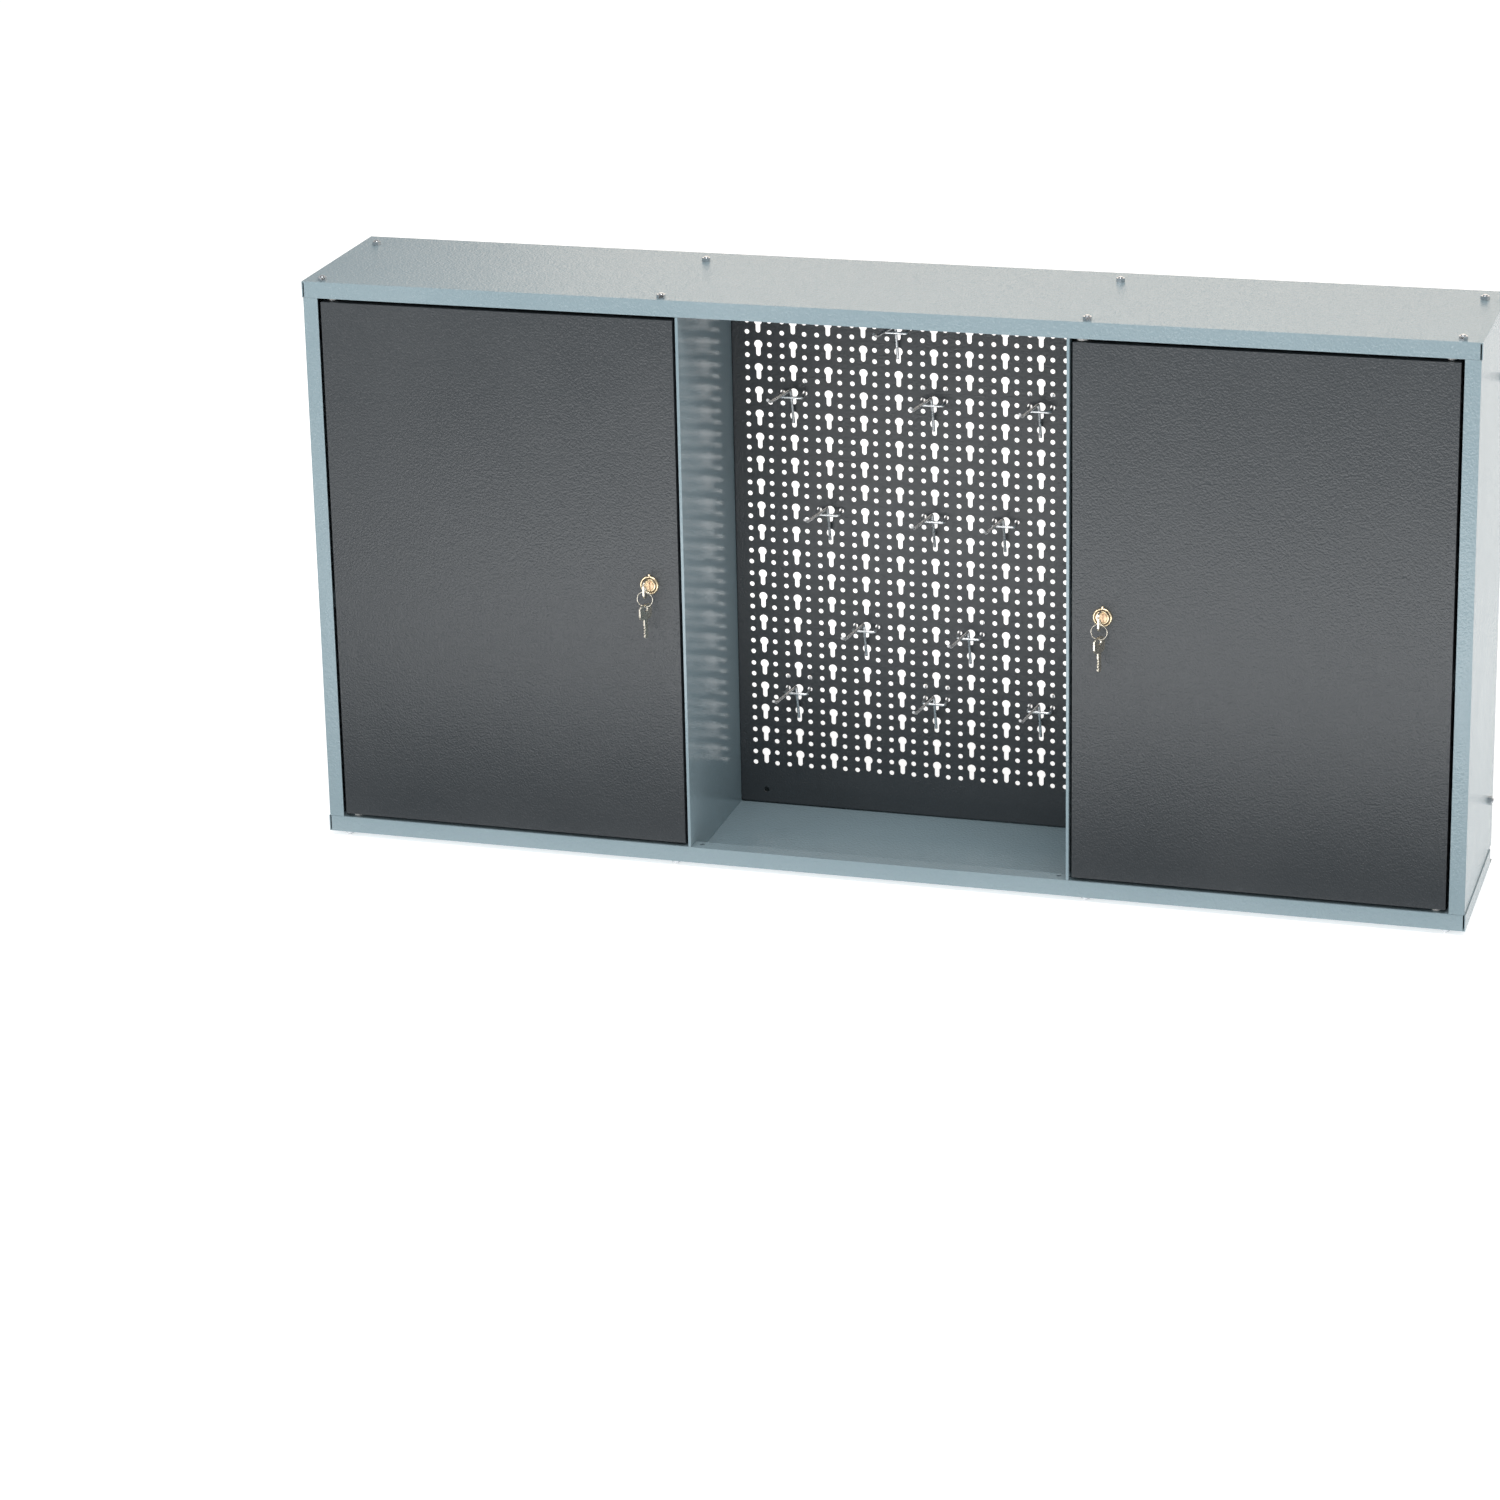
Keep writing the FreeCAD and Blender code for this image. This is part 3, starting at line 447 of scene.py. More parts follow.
# Paints: colours, cells per metre, crumb, relief, roughness. Metals: colours, clouds per metre, roughness.
CASE_BLUES = ((0.208, 0.284, 0.318), (0.246, 0.320, 0.352))
ANTHRACITES = ((0.030, 0.036, 0.041), (0.041, 0.047, 0.052))
case_paint = powder_paint("blue_grey_paint", *CASE_BLUES, 440, 0.5, 0.40 * MM, (0.16, 0.24))
divider_paint = powder_paint("smooth_blue_grey_paint", *CASE_BLUES, 440, 0.5, 0.09 * MM, (0.10, 0.16))
door_paint = powder_paint("anthracite_paint", *ANTHRACITES, 560, 0.4, 0.30 * MM, (0.26, 0.36))
panel_paint = powder_paint("anthracite_panel_paint", *ANTHRACITES, 560, 0.4, 0.26 * MM, (0.26, 0.36))
zinc = plated("zinc_plate", (0.42, 0.44, 0.46), (0.74, 0.76, 0.78), 300, (0.12, 0.24))
hook_zinc = plated("hook_zinc", (0.84, 0.86, 0.88), (0.96, 0.97, 0.98), 300, (0.22, 0.34))
pale_brass = plated("pale_brass", (0.74, 0.62, 0.42), (0.84, 0.72, 0.52), 120, (0.22, 0.30))
# A dark brass that paints the shade of the groove in the lock's face into its colour.
painted_groove_shade_brass = plated("brass_with_painted_groove_shade", (0.10, 0.07, 0.045), (0.20, 0.14, 0.09), 300, (0.40, 0.55))
rose_brass = plated("rose_brass", (0.62, 0.44, 0.31), (0.74, 0.55, 0.40), 160, (0.24, 0.34))
key_nickel = plated("key_nickel", (0.60, 0.56, 0.48), (0.84, 0.80, 0.70), 700, (0.18, 0.34), (1, 0.2, 1))
nylon = moulded("white_nylon", (0.80, 0.80, 0.78), (0.88, 0.88, 0.86), 1500, 0.03 * MM)
print("materials:", sorted(material.name for material in bpy.data.materials))

# %% [markdown]
# ## Freezing modifiers
#
# A modifier is a recipe. The finished piece has to be a plain mesh, so that it can ride on its body and be
# exported as it is. The helper evaluates the recipe, keeps the mesh that comes out and removes the recipe.

# %% Helpers for finished pieces
def linked(name, mesh):
    """An object at the origin that shows a mesh."""
    item = bpy.data.objects.new(name, mesh)
    bpy.context.scene.collection.objects.link(item)
    return item


def frozen(item):
    """Turns what an object's modifiers make into its plain mesh."""
    bpy.context.view_layer.update()
    graph = bpy.context.evaluated_depsgraph_get()
    mesh = bpy.data.meshes.new_from_object(item.evaluated_get(graph))
    item.modifiers.clear()
    item.data = mesh
    return item


def finished(item, body, finish, slot_name, *nodes):
    """Gives a piece its finish and its body, and hides the nodes that it stands for."""
    item.data.materials.clear()
    item.data.materials.append(finish)
    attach(item, body)
    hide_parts(*nodes)
    return item


def body_of_node(node):
    """The body that a CAD node belongs to."""
    return body_of(frame["nodes"][node])[0]


print("example:", "left_door rides on", body_of_node("left_door"))

# %% [markdown]
# ## Folded sheet steel
#
# Every panel is 1 mm sheet bent on a press brake. A bend is never sharp: its outside has a radius of about
# the sheet's thickness, and it catches a thin line of light. The cut edges are only broken by the paint.
# The CAD solids have sharp corners, so each panel is copied, its loose triangles are merged into clean
# faces, and each sharp edge gets a bevel weight: the full one between two broad faces, which is a bend,
# and a small one beside the narrow face of a cut edge. One Bevel modifier reads those weights.

# %% Turn a CAD sheet into a folded one
MERGE_REACH = 0.002 * MM
FLAT_ANGLE = math.radians(0.5)
CREASE_ANGLE = math.radians(30)
BEND_RADIUS = 1.1 * MM
CUT_SHARE = 0.3
BROAD_FACE = 2.2 * MM


def face_width(face):
    """How wide a face is across its longest edge."""
    return face.calc_area() / max(edge.calc_length() for edge in face.edges)


def merged_copy(node):
    """A clean copy of a CAD node's loose triangles."""
    mesh = frame["nodes"][node].data.copy()
    cloth = bmesh.new()
    cloth.from_mesh(mesh)
    bmesh.ops.remove_doubles(cloth, verts=cloth.verts, dist=MERGE_REACH)
    bmesh.ops.dissolve_limit(cloth, angle_limit=FLAT_ANGLE, verts=cloth.verts, edges=cloth.edges)
    return mesh, cloth


def weigh_edges(cloth, cut_share, broad):
    """Writes the bevel weight of each sharp edge: 1 on a bend, the cut's share elsewhere."""
    weight = cloth.edges.layers.float.new("bevel_weight_edge")
    bends = 0
    for edge in cloth.edges:
        if len(edge.link_faces) != 2 or edge.calc_face_angle() < CREASE_ANGLE:
            continue
        widths = [face_width(face) for face in edge.link_faces]
        is_bend = min(widths) > broad and edge.is_convex
        edge[weight] = 1.0 if is_bend else cut_share
        bends += is_bend
    return bends


def eased(node, name, bend=BEND_RADIUS, cut_share=CUT_SHARE, broad=BROAD_FACE, segments=2):
    """A copy of a CAD node with rounded bends and broken cut edges."""
    mesh, cloth = merged_copy(node)
    bends = weigh_edges(cloth, cut_share, broad)
    cloth.to_mesh(mesh)
    cloth.free()
    item = linked(name, mesh)
    for polygon in mesh.polygons:
        polygon.use_smooth = True
    ease = item.modifiers.new("ease", "BEVEL")
    ease.limit_method = "WEIGHT"
    ease.width = bend
    ease.segments = segments
    ease.use_clamp_overlap = True
    steady = item.modifiers.new("steady", "WEIGHTED_NORMAL")
    steady.keep_sharp = True
    frozen(item)
    print(name, "bends:", bends, "faces:", len(item.data.polygons))
    return item


# %% The case, the dividers, the backs and the shelves
PAINTED = {
    "top_panel": "case_top",
    "bottom_panel": "case_bottom",
    "left_side_panel": "case_left_side",
    "right_side_panel": "case_right_side",
    "left_divider": "bay_left_divider",
    "right_divider": "bay_right_divider",
    "left_back_panel": "left_bay_back",
    "right_back_panel": "right_bay_back",
    "left_shelf": "left_bay_shelf",
    "right_shelf": "right_bay_shelf",
}
for node, name in PAINTED.items():
    paint = divider_paint if "divider" in name else case_paint
    finished(eased(node, name), body_of_node(node), paint, "frame_paint", node)

# %% [markdown]
# ## The doors
#
# A door is a pan: one sheet folded back on all four sides, and folded once more to a narrow lip. It is
# eased like the case, with a slightly softer bend, because its front edges are what the eye follows.

# %% The two doors
DOOR_BEND = 1.4 * MM
DOOR_CUT_SHARE = 0.24
for side in SIDES:
    door = eased(f"{side}_door", f"{side}_door_pan", bend=DOOR_BEND, cut_share=DOOR_CUT_SHARE, segments=3)
    finished(door, f"{side}_door_leaf", door_paint, "door_paint", f"{side}_door")

# %% [markdown]
# ## The perforated panel
#
# The panel in the middle bay has two hundred keyholes and eight hundred small holes, and its pattern is one
# repeat: a keyhole with two small holes at each side. That is a job for Geometry Nodes. The edges of one
# repeat are drawn in Python from their radii, the tree instances them on a grid, fills the sheet round them
# and gives it its gauge. Filling everything at once keeps the sheet in one piece, with no seams between
# repeats.

# %% Draw one repeat of the perforation
ROW_PITCH = 25 * MM
COLUMN_PITCH = 37.5 * MM
COLUMNS = 10
ROWS = 20
FIRST_ROW = 234.4 * MM
KEYHOLE_RADIUS = 4.5 * MM
SLOT_RADIUS = 2.5 * MM
KEYHOLE_DROP = 12.8 * MM
SMALL_RADIUS = 2.6 * MM
SMALL_SIDE = 12 * MM
SMALL_DROP = 12 * MM
GAUGE = 1 * MM
HALF_TURN = math.pi
HEAD_STEPS = 16
FOOT_STEPS = 7
SMALL_STEPS = 14
WALL_HOLE_STEPS = 16


def arc_points(centre, radius, start, end, steps):
    """Points along an arc in a plane, both ends included."""
    angles = [start + (end - start) * step / steps for step in range(steps + 1)]
    across, along = centre
    return [(across + radius * math.cos(angle), along + radius * math.sin(angle)) for angle in angles]


def keyhole_loop():
    """The round head from one side of the slot to the other, then the slot's round end."""
    neck = math.asin(SLOT_RADIUS / KEYHOLE_RADIUS)
    head = arc_points((0, 0), KEYHOLE_RADIUS, neck - HALF_TURN / 2, HALF_TURN * 1.5 - neck, HEAD_STEPS)
    foot = arc_points((0, SLOT_RADIUS - KEYHOLE_DROP), SLOT_RADIUS, HALF_TURN, HALF_TURN * 2, FOOT_STEPS)
    return head + foot


def small_loop(x, y):
    return arc_points((x, y), SMALL_RADIUS, 0, HALF_TURN * 2, SMALL_STEPS)[:-1]


def edges_mesh(name, rows, closed):
    """A mesh of rows of edges, each open or closed."""
    points = []
    edges = []
    for row in rows:
        first = len(points)
        points += row
        count = len(row) if closed else len(row) - 1
        edges += [(first + step, first + (step + 1) % len(row)) for step in range(count)]
    mesh = bpy.data.meshes.new(name)
    mesh.from_pydata(points, edges, [])
    return mesh


repeat_loops = [keyhole_loop()]
for small_x in (-SMALL_SIDE, SMALL_SIDE):
    for small_y in (0, -SMALL_DROP):
        repeat_loops.append(small_loop(small_x, small_y))
print("loops in one repeat:", len(repeat_loops), "points:", sum(len(loop) for loop in repeat_loops))

# %% The tree that perforates a sheet
def perforation_tree():
    lengths = ("Column pitch", "Row pitch", "First row", "Width", "Height", "Wall hole width")
    lengths += ("Wall hole spread", "Wall hole rise", "Gauge", "Back face")
    sizes = {"Holes": "geometry", "Columns": "count", "Rows": "count", **dict.fromkeys(lengths, "value")}
    tree, feed, out = new_tree("perforation", "GeometryNodeTree", sizes, {"Geometry": "geometry"})
    size = feed.outputs

    def reach(count, pitch):
        return reckoned(tree, "MULTIPLY", reckoned(tree, "SUBTRACT", size[count], 1.0), size[pitch])

    width = reach("Columns", "Column pitch")
    height = reach("Rows", "Row pitch")
    counts = {"Vertices X": size["Columns"], "Vertices Y": size["Rows"]}
    grid = made(tree, "GeometryNodeMeshGrid", {"Size X": width, "Size Y": height, **counts})
    middle = reckoned(tree, "SUBTRACT", size["First row"], reckoned(tree, "MULTIPLY", height, 0.5))
    raised = made(tree, "ShaderNodeCombineXYZ", {"Y": middle})
    places = made(tree, "GeometryNodeTransform", {"Geometry": grid, "Translation": raised})
    repeats = made(tree, "GeometryNodeInstanceOnPoints", {"Points": places, "Instance": size["Holes"]})
    holes = made(tree, "GeometryNodeRealizeInstances", {"Geometry": repeats})
    hole_curves = made(tree, "GeometryNodeMeshToCurve", {"Mesh": holes})

    wall_sizes = {"Size X": size["Wall hole spread"], "Size Y": size["Wall hole rise"]}
    wall_grid = made(tree, "GeometryNodeMeshGrid", {**wall_sizes, "Vertices X": 2, "Vertices Y": 2})
    wall_radius = reckoned(tree, "MULTIPLY", size["Wall hole width"], 0.5)
    round_sizes = {"Resolution": WALL_HOLE_STEPS, "Radius": wall_radius}
    circle = made(tree, "GeometryNodeCurvePrimitiveCircle", round_sizes)
    wall_holes = made(tree, "GeometryNodeInstanceOnPoints", {"Points": wall_grid, "Instance": circle})
    wall_curves = made(tree, "GeometryNodeRealizeInstances", {"Geometry": wall_holes})

    edge_sizes = {"Width": size["Width"], "Height": size["Height"]}
    edge = made(tree, "GeometryNodeCurvePrimitiveQuadrilateral", edge_sizes)
    outline = made(tree, "GeometryNodeJoinGeometry", {"Geometry": [edge, wall_curves, hole_curves]})
    face = made(tree, "GeometryNodeFillCurve", {"Curve": outline})
    upwards = (0.0, 0.0, 1.0)
    lift = {"Mesh": face, "Offset": upwards, "Offset Scale": size["Gauge"], "Individual": False}
    thick = made(tree, "GeometryNodeExtrudeMesh", lift)
    under = made(tree, "GeometryNodeFlipFaces", {"Mesh": face})
    whole = made(tree, "GeometryNodeJoinGeometry", {"Geometry": [thick, under]})
    sealed = made(tree, "GeometryNodeMergeByDistance", {"Geometry": whole, "Distance": MERGE_REACH})
    seat = made(tree, "ShaderNodeCombineXYZ", {"Z": size["Back face"]})
    seated = made(tree, "GeometryNodeTransform", {"Geometry": sealed, "Translation": seat})
    upright = (HALF_TURN / 2, 0.0, 0.0)
    stood = made(tree, "GeometryNodeTransform", {"Geometry": seated, "Rotation": upright})
    tree.links.new(stood, out.inputs["Geometry"])
    return tree


def grown(name, base, tree, values):
    """The plain mesh that a tree grows from a base mesh, with each input set by its identifier."""
    item = linked(name, base)
    recipe = item.modifiers.new(tree.name, "NODES")
    recipe.node_group = tree
    for socket in tree.interface.items_tree:
        if socket.item_type == "SOCKET" and socket.in_out == "INPUT" and socket.name in values:
            recipe[socket.identifier] = values[socket.name]
    return frozen(item)


# %% [markdown]
# The four edges of the panel fold back towards the wall. The rim is a section, with an outer and an inner
# bend, swept round the rectangle with mitred corners. It starts where the flat sheet ends, so both join
# into one closed mesh.

# %% Perforate the sheet and fold its edges
BEND = 1.6 * MM
WALL_HOLE_WIDTH = 6 * MM
WALL_HOLE_SPREAD = 338 * MM
WALL_HOLE_RISE = 566 * MM
BEND_STEPS = 4
SIDEWAYS = 0.5


def fold_section(depth):
    """The folded rim's section: (distance in from the edge, depth behind the front face)."""
    outer = arc_points((BEND, BEND), BEND, HALF_TURN * 1.5, HALF_TURN, BEND_STEPS)
    inner = arc_points((BEND, BEND), BEND - GAUGE, HALF_TURN, HALF_TURN * 1.5, BEND_STEPS)
    return outer + [(0, depth), (GAUGE, depth)] + inner


def add_mitred_rim(cloth, low, high, section):
    """Sweeps a section round the rectangle of a panel that faces -Y."""
    rings = []
    for inset, depth in section:
        corners = (
            (low.x + inset, low.z + inset),
            (high.x - inset, low.z + inset),
            (high.x - inset, high.z - inset),
            (low.x + inset, high.z - inset),
        )
        rings.append([cloth.verts.new((x, low.y + depth, z)) for x, z in corners])
    for near, far in zip(rings, rings[1:]):
        for corner in range(4):
            following = (corner + 1) % 4
            cloth.faces.new((near[corner], near[following], far[following], far[corner]))


def make_peg_panel():
    low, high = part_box("peg_panel")
    width = high.x - low.x - BEND * 2
    height = high.z - low.z - BEND * 2
    values = {
        "Columns": COLUMNS,
        "Rows": ROWS,
        "Column pitch": COLUMN_PITCH,
        "Row pitch": ROW_PITCH,
        "First row": FIRST_ROW,
        "Width": width,
        "Height": height,
        "Wall hole width": WALL_HOLE_WIDTH,
        "Wall hole spread": WALL_HOLE_SPREAD,
        "Wall hole rise": WALL_HOLE_RISE,
        "Gauge": GAUGE,
        "Back face": -low.y - GAUGE,
    }
    loops = [[(x, y, 0) for x, y in loop] for loop in repeat_loops]
    repeat = edges_mesh("peg_repeat", loops, closed=True)
    panel = grown("peg_panel_sheet", repeat, perforation_tree(), values)
    cloth = bmesh.new()
    cloth.from_mesh(panel.data)

    def on_edge(vertex):
        from_side = abs(abs(vertex.co.x) - width / 2)
        from_end = abs(abs(vertex.co.z) - height / 2)
        return min(from_side, from_end) < MERGE_REACH

    narrow = [face for face in cloth.faces if abs(face.normal.y) < SIDEWAYS]
    seam = [face for face in narrow if all(map(on_edge, face.verts))]
    bmesh.ops.delete(cloth, geom=seam, context="FACES")
    add_mitred_rim(cloth, low, high, fold_section(high.y - low.y))
    bmesh.ops.remove_doubles(cloth, verts=cloth.verts, dist=MERGE_REACH)
    bmesh.ops.recalc_face_normals(cloth, faces=cloth.faces)
    open_edges = sum(len(edge.link_faces) != 2 for edge in cloth.edges)
    cloth.to_mesh(panel.data)
    cloth.free()
    print("perforated panel: faces", len(panel.data.polygons), "open edges", open_edges)
    return panel


peg_panel = make_peg_panel()
finished(peg_panel, body_of_node("peg_panel"), panel_paint, "panel_paint", "peg_panel")

# %% [markdown]
# ## Nuts and bolts
#
# The case is bolted together with M5 bolts whose nuts stand outside. A nut shows from far away by its
# chamfers: its flats are trimmed by a cone, so its corners end in small arcs. Its radius and its height both
# depend on the angle, so one helper lofts rings in which either may be a function. Geometry Nodes then
# instance the fastener on a mesh of seats, which carry their outward direction as an attribute, and each
# gets its own turn from a fixed seed, as hand-tightened nuts have.

# %% A helper that lofts rings round an axis
FULL_TURN = HALF_TURN * 2
FLAT_SHARE = 0.98
CHAMFER_SLOPE = math.tan(math.radians(30))


def at_angle(amount, angle):
    return amount(angle) if callable(amount) else amount


def lofted(name, rings, sides, closed=False):
    """A mesh of rings, each (radius, height), both of which may be functions of the angle."""
    cloth = bmesh.new()
    rows = []
    for radius, height in rings:
        row = []
        for side in range(sides):
            angle = FULL_TURN * side / sides
            reach = at_angle(radius, angle)
            point = (reach * math.cos(angle), reach * math.sin(angle), at_angle(height, angle))
            row.append(cloth.verts.new(point))
        rows.append(row)
    pairs = list(zip(rows, rows[1:]))
    if closed:
        pairs.append((rows[-1], rows[0]))
    for near, far in pairs:
        for side in range(sides):
            following = (side + 1) % sides
            cloth.faces.new((near[side], near[following], far[following], far[side]))
    if not closed:
        cloth.faces.new(rows[0])
        cloth.faces.new(rows[-1])
    bmesh.ops.recalc_face_normals(cloth, faces=cloth.faces)
    mesh = bpy.data.meshes.new(name)
    cloth.to_mesh(mesh)
    cloth.free()
    return mesh


def hex_radius(across_flats):
    """The distance from the axis to the side of a hexagon, as a function of the angle."""
    sixth = FULL_TURN / 6

    def radius(angle):
        return across_flats / 2 / math.cos(angle % sixth - sixth / 2)

    return radius


def chamfer_height(across_flats, level, sign):
    """The height at which a 30 degree cone meets the flats, as a function of the angle."""
    side = hex_radius(across_flats)

    def height(angle):
        return level + sign * (side(angle) - across_flats / 2 * FLAT_SHARE) * CHAMFER_SLOPE

    return height


def hexagon_rings(across_flats, low, high):
    """The outer rings of a nut, chamfered at both ends."""
    side = hex_radius(across_flats)
    edge = across_flats / 2 * FLAT_SHARE
    return [
        (edge, low),
        (side, chamfer_height(across_flats, low, 1)),
        (side, chamfer_height(across_flats, high, -1)),
        (edge, high),
    ]


print("hexagon corner for 8 mm across flats:", round(hex_radius(8 * MM)(0) / MM, 2), "mm")

# %% The nut with the tip of its bolt, and the bolt's head
NUT_FLATS = 8 * MM
NUT_HEIGHT = 4 * MM
BOLT_RADIUS = 2.5 * MM
BOLT_TIP = 1.2 * MM
THREAD_PITCH = 0.8 * MM
THREAD_DEPTH = 0.4 * MM
HEAD_RADIUS = 5 * MM
HEAD_HEIGHT = 3.5 * MM
ROUND_SIDES = 24
THREAD_SHAPE = ((0, 0.1), (0, 0.3), (1, 0.75), (1, 0.85))
SEAT_SHARE = 0.5
MOUTH_SHARE = 1.16
DOME_START = 0.35
DOME_ANGLES = (0.1, 0.5, 0.85, 1.15)
CROSS_TOP = (0.16, 0.42, 0.14)
CROSS_FLOOR = (0.1, 0.25, 0.1)
CROSS_FLOOR_LEVEL = 0.45


def thread_rings(radius, start, end, pitch, depth):
    """Rings that rise and fall like a thread's crests and roots."""
    count = max(1, int((end - start) / pitch))
    rings = []
    for turn in range(count):
        level = start + turn * pitch
        rings += [(radius - depth * cut, level + pitch * share) for cut, share in THREAD_SHAPE]
    return rings


def nut_mesh():
    top = NUT_HEIGHT + BOLT_TIP
    thread_start = NUT_HEIGHT - THREAD_DEPTH
    thread_end = top - THREAD_DEPTH
    rings = [(BOLT_RADIUS * SEAT_SHARE, 0)] + hexagon_rings(NUT_FLATS, 0, NUT_HEIGHT)
    rings += [(BOLT_RADIUS * MOUTH_SHARE, NUT_HEIGHT), (BOLT_RADIUS, thread_start)]
    rings += thread_rings(BOLT_RADIUS, thread_start, thread_end, THREAD_PITCH, THREAD_DEPTH / 2)
    rings += [(BOLT_RADIUS, thread_end), (BOLT_RADIUS - THREAD_DEPTH, top)]
    return lofted("nut", rings, ROUND_SIDES)


def cross_recess(shares):
    """The radius of a cross recess, as a function of the angle, from shares of the head's radius."""
    radius, arm, width = (HEAD_RADIUS * share for share in shares)
    quarter = FULL_TURN / 4

    def reach(angle):
        off = abs((angle + quarter / 2) % quarter - quarter / 2)
        return arm if off < math.atan2(width, arm) else radius

    return reach


def head_mesh():
    """A pan head, domed, with a cross recess. It points up, away from its seat."""
    rings = [(HEAD_RADIUS * SEAT_SHARE, 0), (HEAD_RADIUS, 0)]
    for angle in DOME_ANGLES:
        level = DOME_START + (1 - DOME_START) * math.sin(angle)
        rings.append((HEAD_RADIUS * math.cos(angle), HEAD_HEIGHT * level))
    rings.append((cross_recess(CROSS_TOP), HEAD_HEIGHT))
    rings.append((cross_recess(CROSS_FLOOR), HEAD_HEIGHT * CROSS_FLOOR_LEVEL))
    return lofted("bolt_head", rings, ROUND_SIDES)


print("nut:", len(nut_mesh().polygons), "faces; head:", len(head_mesh().polygons), "faces")

# %% The tree that sets a fastener on each seat
def seating_tree():
    sizes = {"Seats": "geometry", "Piece": "object", "Seed": "count"}
    tree, feed, out = new_tree("seating", "GeometryNodeTree", sizes, {"Geometry": "geometry"})
    size = feed.outputs
    piece = add(tree, "GeometryNodeObjectInfo", {"Object": size["Piece"]}).outputs["Geometry"]
    outward = made(tree, "GeometryNodeInputNamedAttribute", {"Name": "outward"}, data_type="FLOAT_VECTOR")
    facing = made(tree, "FunctionNodeAlignRotationToVector", {"Vector": outward}, axis="Z")
    draw = {"Max": FULL_TURN / 6, "Seed": size["Seed"]}
    chance = add(tree, "FunctionNodeRandomValue", draw, data_type="FLOAT")
    turn = next(socket for socket in chance.outputs if socket.enabled)
    about_axis = made(tree, "ShaderNodeCombineXYZ", {"Z": turn})
    spin = made(tree, "FunctionNodeEulerToRotation", {"Euler": about_axis})
    turns = {"Rotation": facing, "Rotate By": spin}
    rotation = made(tree, "FunctionNodeRotateRotation", turns, rotation_space="LOCAL")
    seats = {"Points": size["Seats"], "Instance": piece, "Rotation": rotation}
    placed = made(tree, "GeometryNodeInstanceOnPoints", seats)
    real = made(tree, "GeometryNodeRealizeInstances", {"Geometry": placed})
    tree.links.new(real, out.inputs["Geometry"])
    return tree


def seats_mesh(name, seats):
    """A mesh of loose points, each with its outward direction."""
    mesh = bpy.data.meshes.new(name)
    mesh.from_pydata([point for point, direction in seats], [], [])
    outward = mesh.attributes.new("outward", "FLOAT_VECTOR", "POINT")
    for index, (point, direction) in enumerate(seats):
        outward.data[index].vector = direction
    return mesh


def seated_pieces(name, template, seats, seed):
    """Copies of a template on every seat, as one plain mesh."""
    model = bpy.data.objects.new(f"{name}_model", template)
    values = {"Piece": model, "Seed": seed}
    item = grown(name, seats_mesh(f"{name}_seats", seats), seating, values)
    bpy.data.objects.remove(model)
    return item


seating = seating_tree()
print("tree:", seating.name, "nodes:", len(seating.nodes))

# %% Seat the nuts outside and the heads inside
BOLT_COLUMNS = (580 * MM, 217 * MM)
BOLT_ROWS = (-192 * MM, -36 * MM)
SIDE_ROW = -35 * MM
SIDE_LEVEL = 222 * MM
NUT_SEED = 3
HEAD_SEED = 5


def bolt_seats(top_level, side_level, sign):
    """The seats of the case's bolts. The sign is 1 for outside and -1 for inside."""
    seats = []
    for level in (-1, 1):
        for side in SIDES.values():
            for column in BOLT_COLUMNS:
                for row in BOLT_ROWS:
                    seats.append(((column * side, row, top_level * level), (0, 0, level * sign)))
            seats.append(((side_level * side, SIDE_ROW, SIDE_LEVEL * level), (side * sign, 0, 0)))
    return seats


case_top = high_corner("top_panel").z
case_side = high_corner("right_side_panel").x
nut_seats = bolt_seats(case_top, case_side, 1)
head_seats = bolt_seats(case_top - GAUGE * 2, case_side - GAUGE * 2, -1)
nuts = seated_pieces("case_nut_set", nut_mesh(), nut_seats, NUT_SEED)
heads = seated_pieces("case_bolt_heads", head_mesh(), head_seats, HEAD_SEED)
finished(nuts, body_of_node("case_nuts"), zinc, "zinc_steel", "case_nuts")
finished(heads, body_of_node("case_bolts"), zinc, "zinc_steel", "case_bolts")
print("nuts:", len(nut_seats), "faces:", len(nuts.data.polygons))

# %% [markdown]
# ## Wire hooks
#
# A hook is two bent wires welded together: a U-shaped clip, whose two tails go through small holes and stand
# up behind the panel, and a prong, whose leg climbs from the sheet behind the clip's bar, turns forward just
# above it and turns up at the tip. A wire is a path with a round section, so each path is drawn from its
# straight runs with an arc at every corner, and one tree sweeps the section along both and sets the hook at
# its twelve places.

# %% Draw the two wires of a hook
WIRE_RADIUS = 1.5 * MM
CLIP_BEND = 2.5 * MM
PRONG_BEND = 4 * MM
BEND_POINTS = 6
CLIP_RUNS = (
    (-12, 2.8, 14),
    (-12, 2.8, 0),
    (-12, -12, -2),
    (12, -12, -2),
    (12, 2.8, 0),
    (12, 2.8, 14),
)
PRONG_RUNS = (
    (0, -1.8, -32),
    (0, -11.17, 6),
    (0, -86, 13.5),
    (0, -97, 18.5),
)


def rounded_path(runs, bend):
    """Points along straight runs, in metres, with an arc of the given radius at each inner corner."""
    corners = [Vector(point) * MM for point in runs]
    path = [corners[0]]
    for before, corner, after in zip(corners, corners[1:], corners[2:]):
        inward = (before - corner).normalized()
        onward = (after - corner).normalized()
        half_angle = inward.angle(onward) / 2
        first = corner + inward * bend / math.tan(half_angle)
        centre = corner + (inward + onward).normalized() * bend / math.sin(half_angle)
        start = first - centre
        turn_axis = inward.cross(onward).normalized()
        sweep = HALF_TURN - half_angle * 2
        for step in range(BEND_POINTS + 1):
            turn = Matrix.Rotation(-sweep * step / BEND_POINTS, 3, turn_axis)
            path.append(centre + turn @ start)
    path.append(corners[-1])
    return path


hook_paths = [rounded_path(CLIP_RUNS, CLIP_BEND), rounded_path(PRONG_RUNS, PRONG_BEND)]
print("points along the clip and the prong:", [len(path) for path in hook_paths])

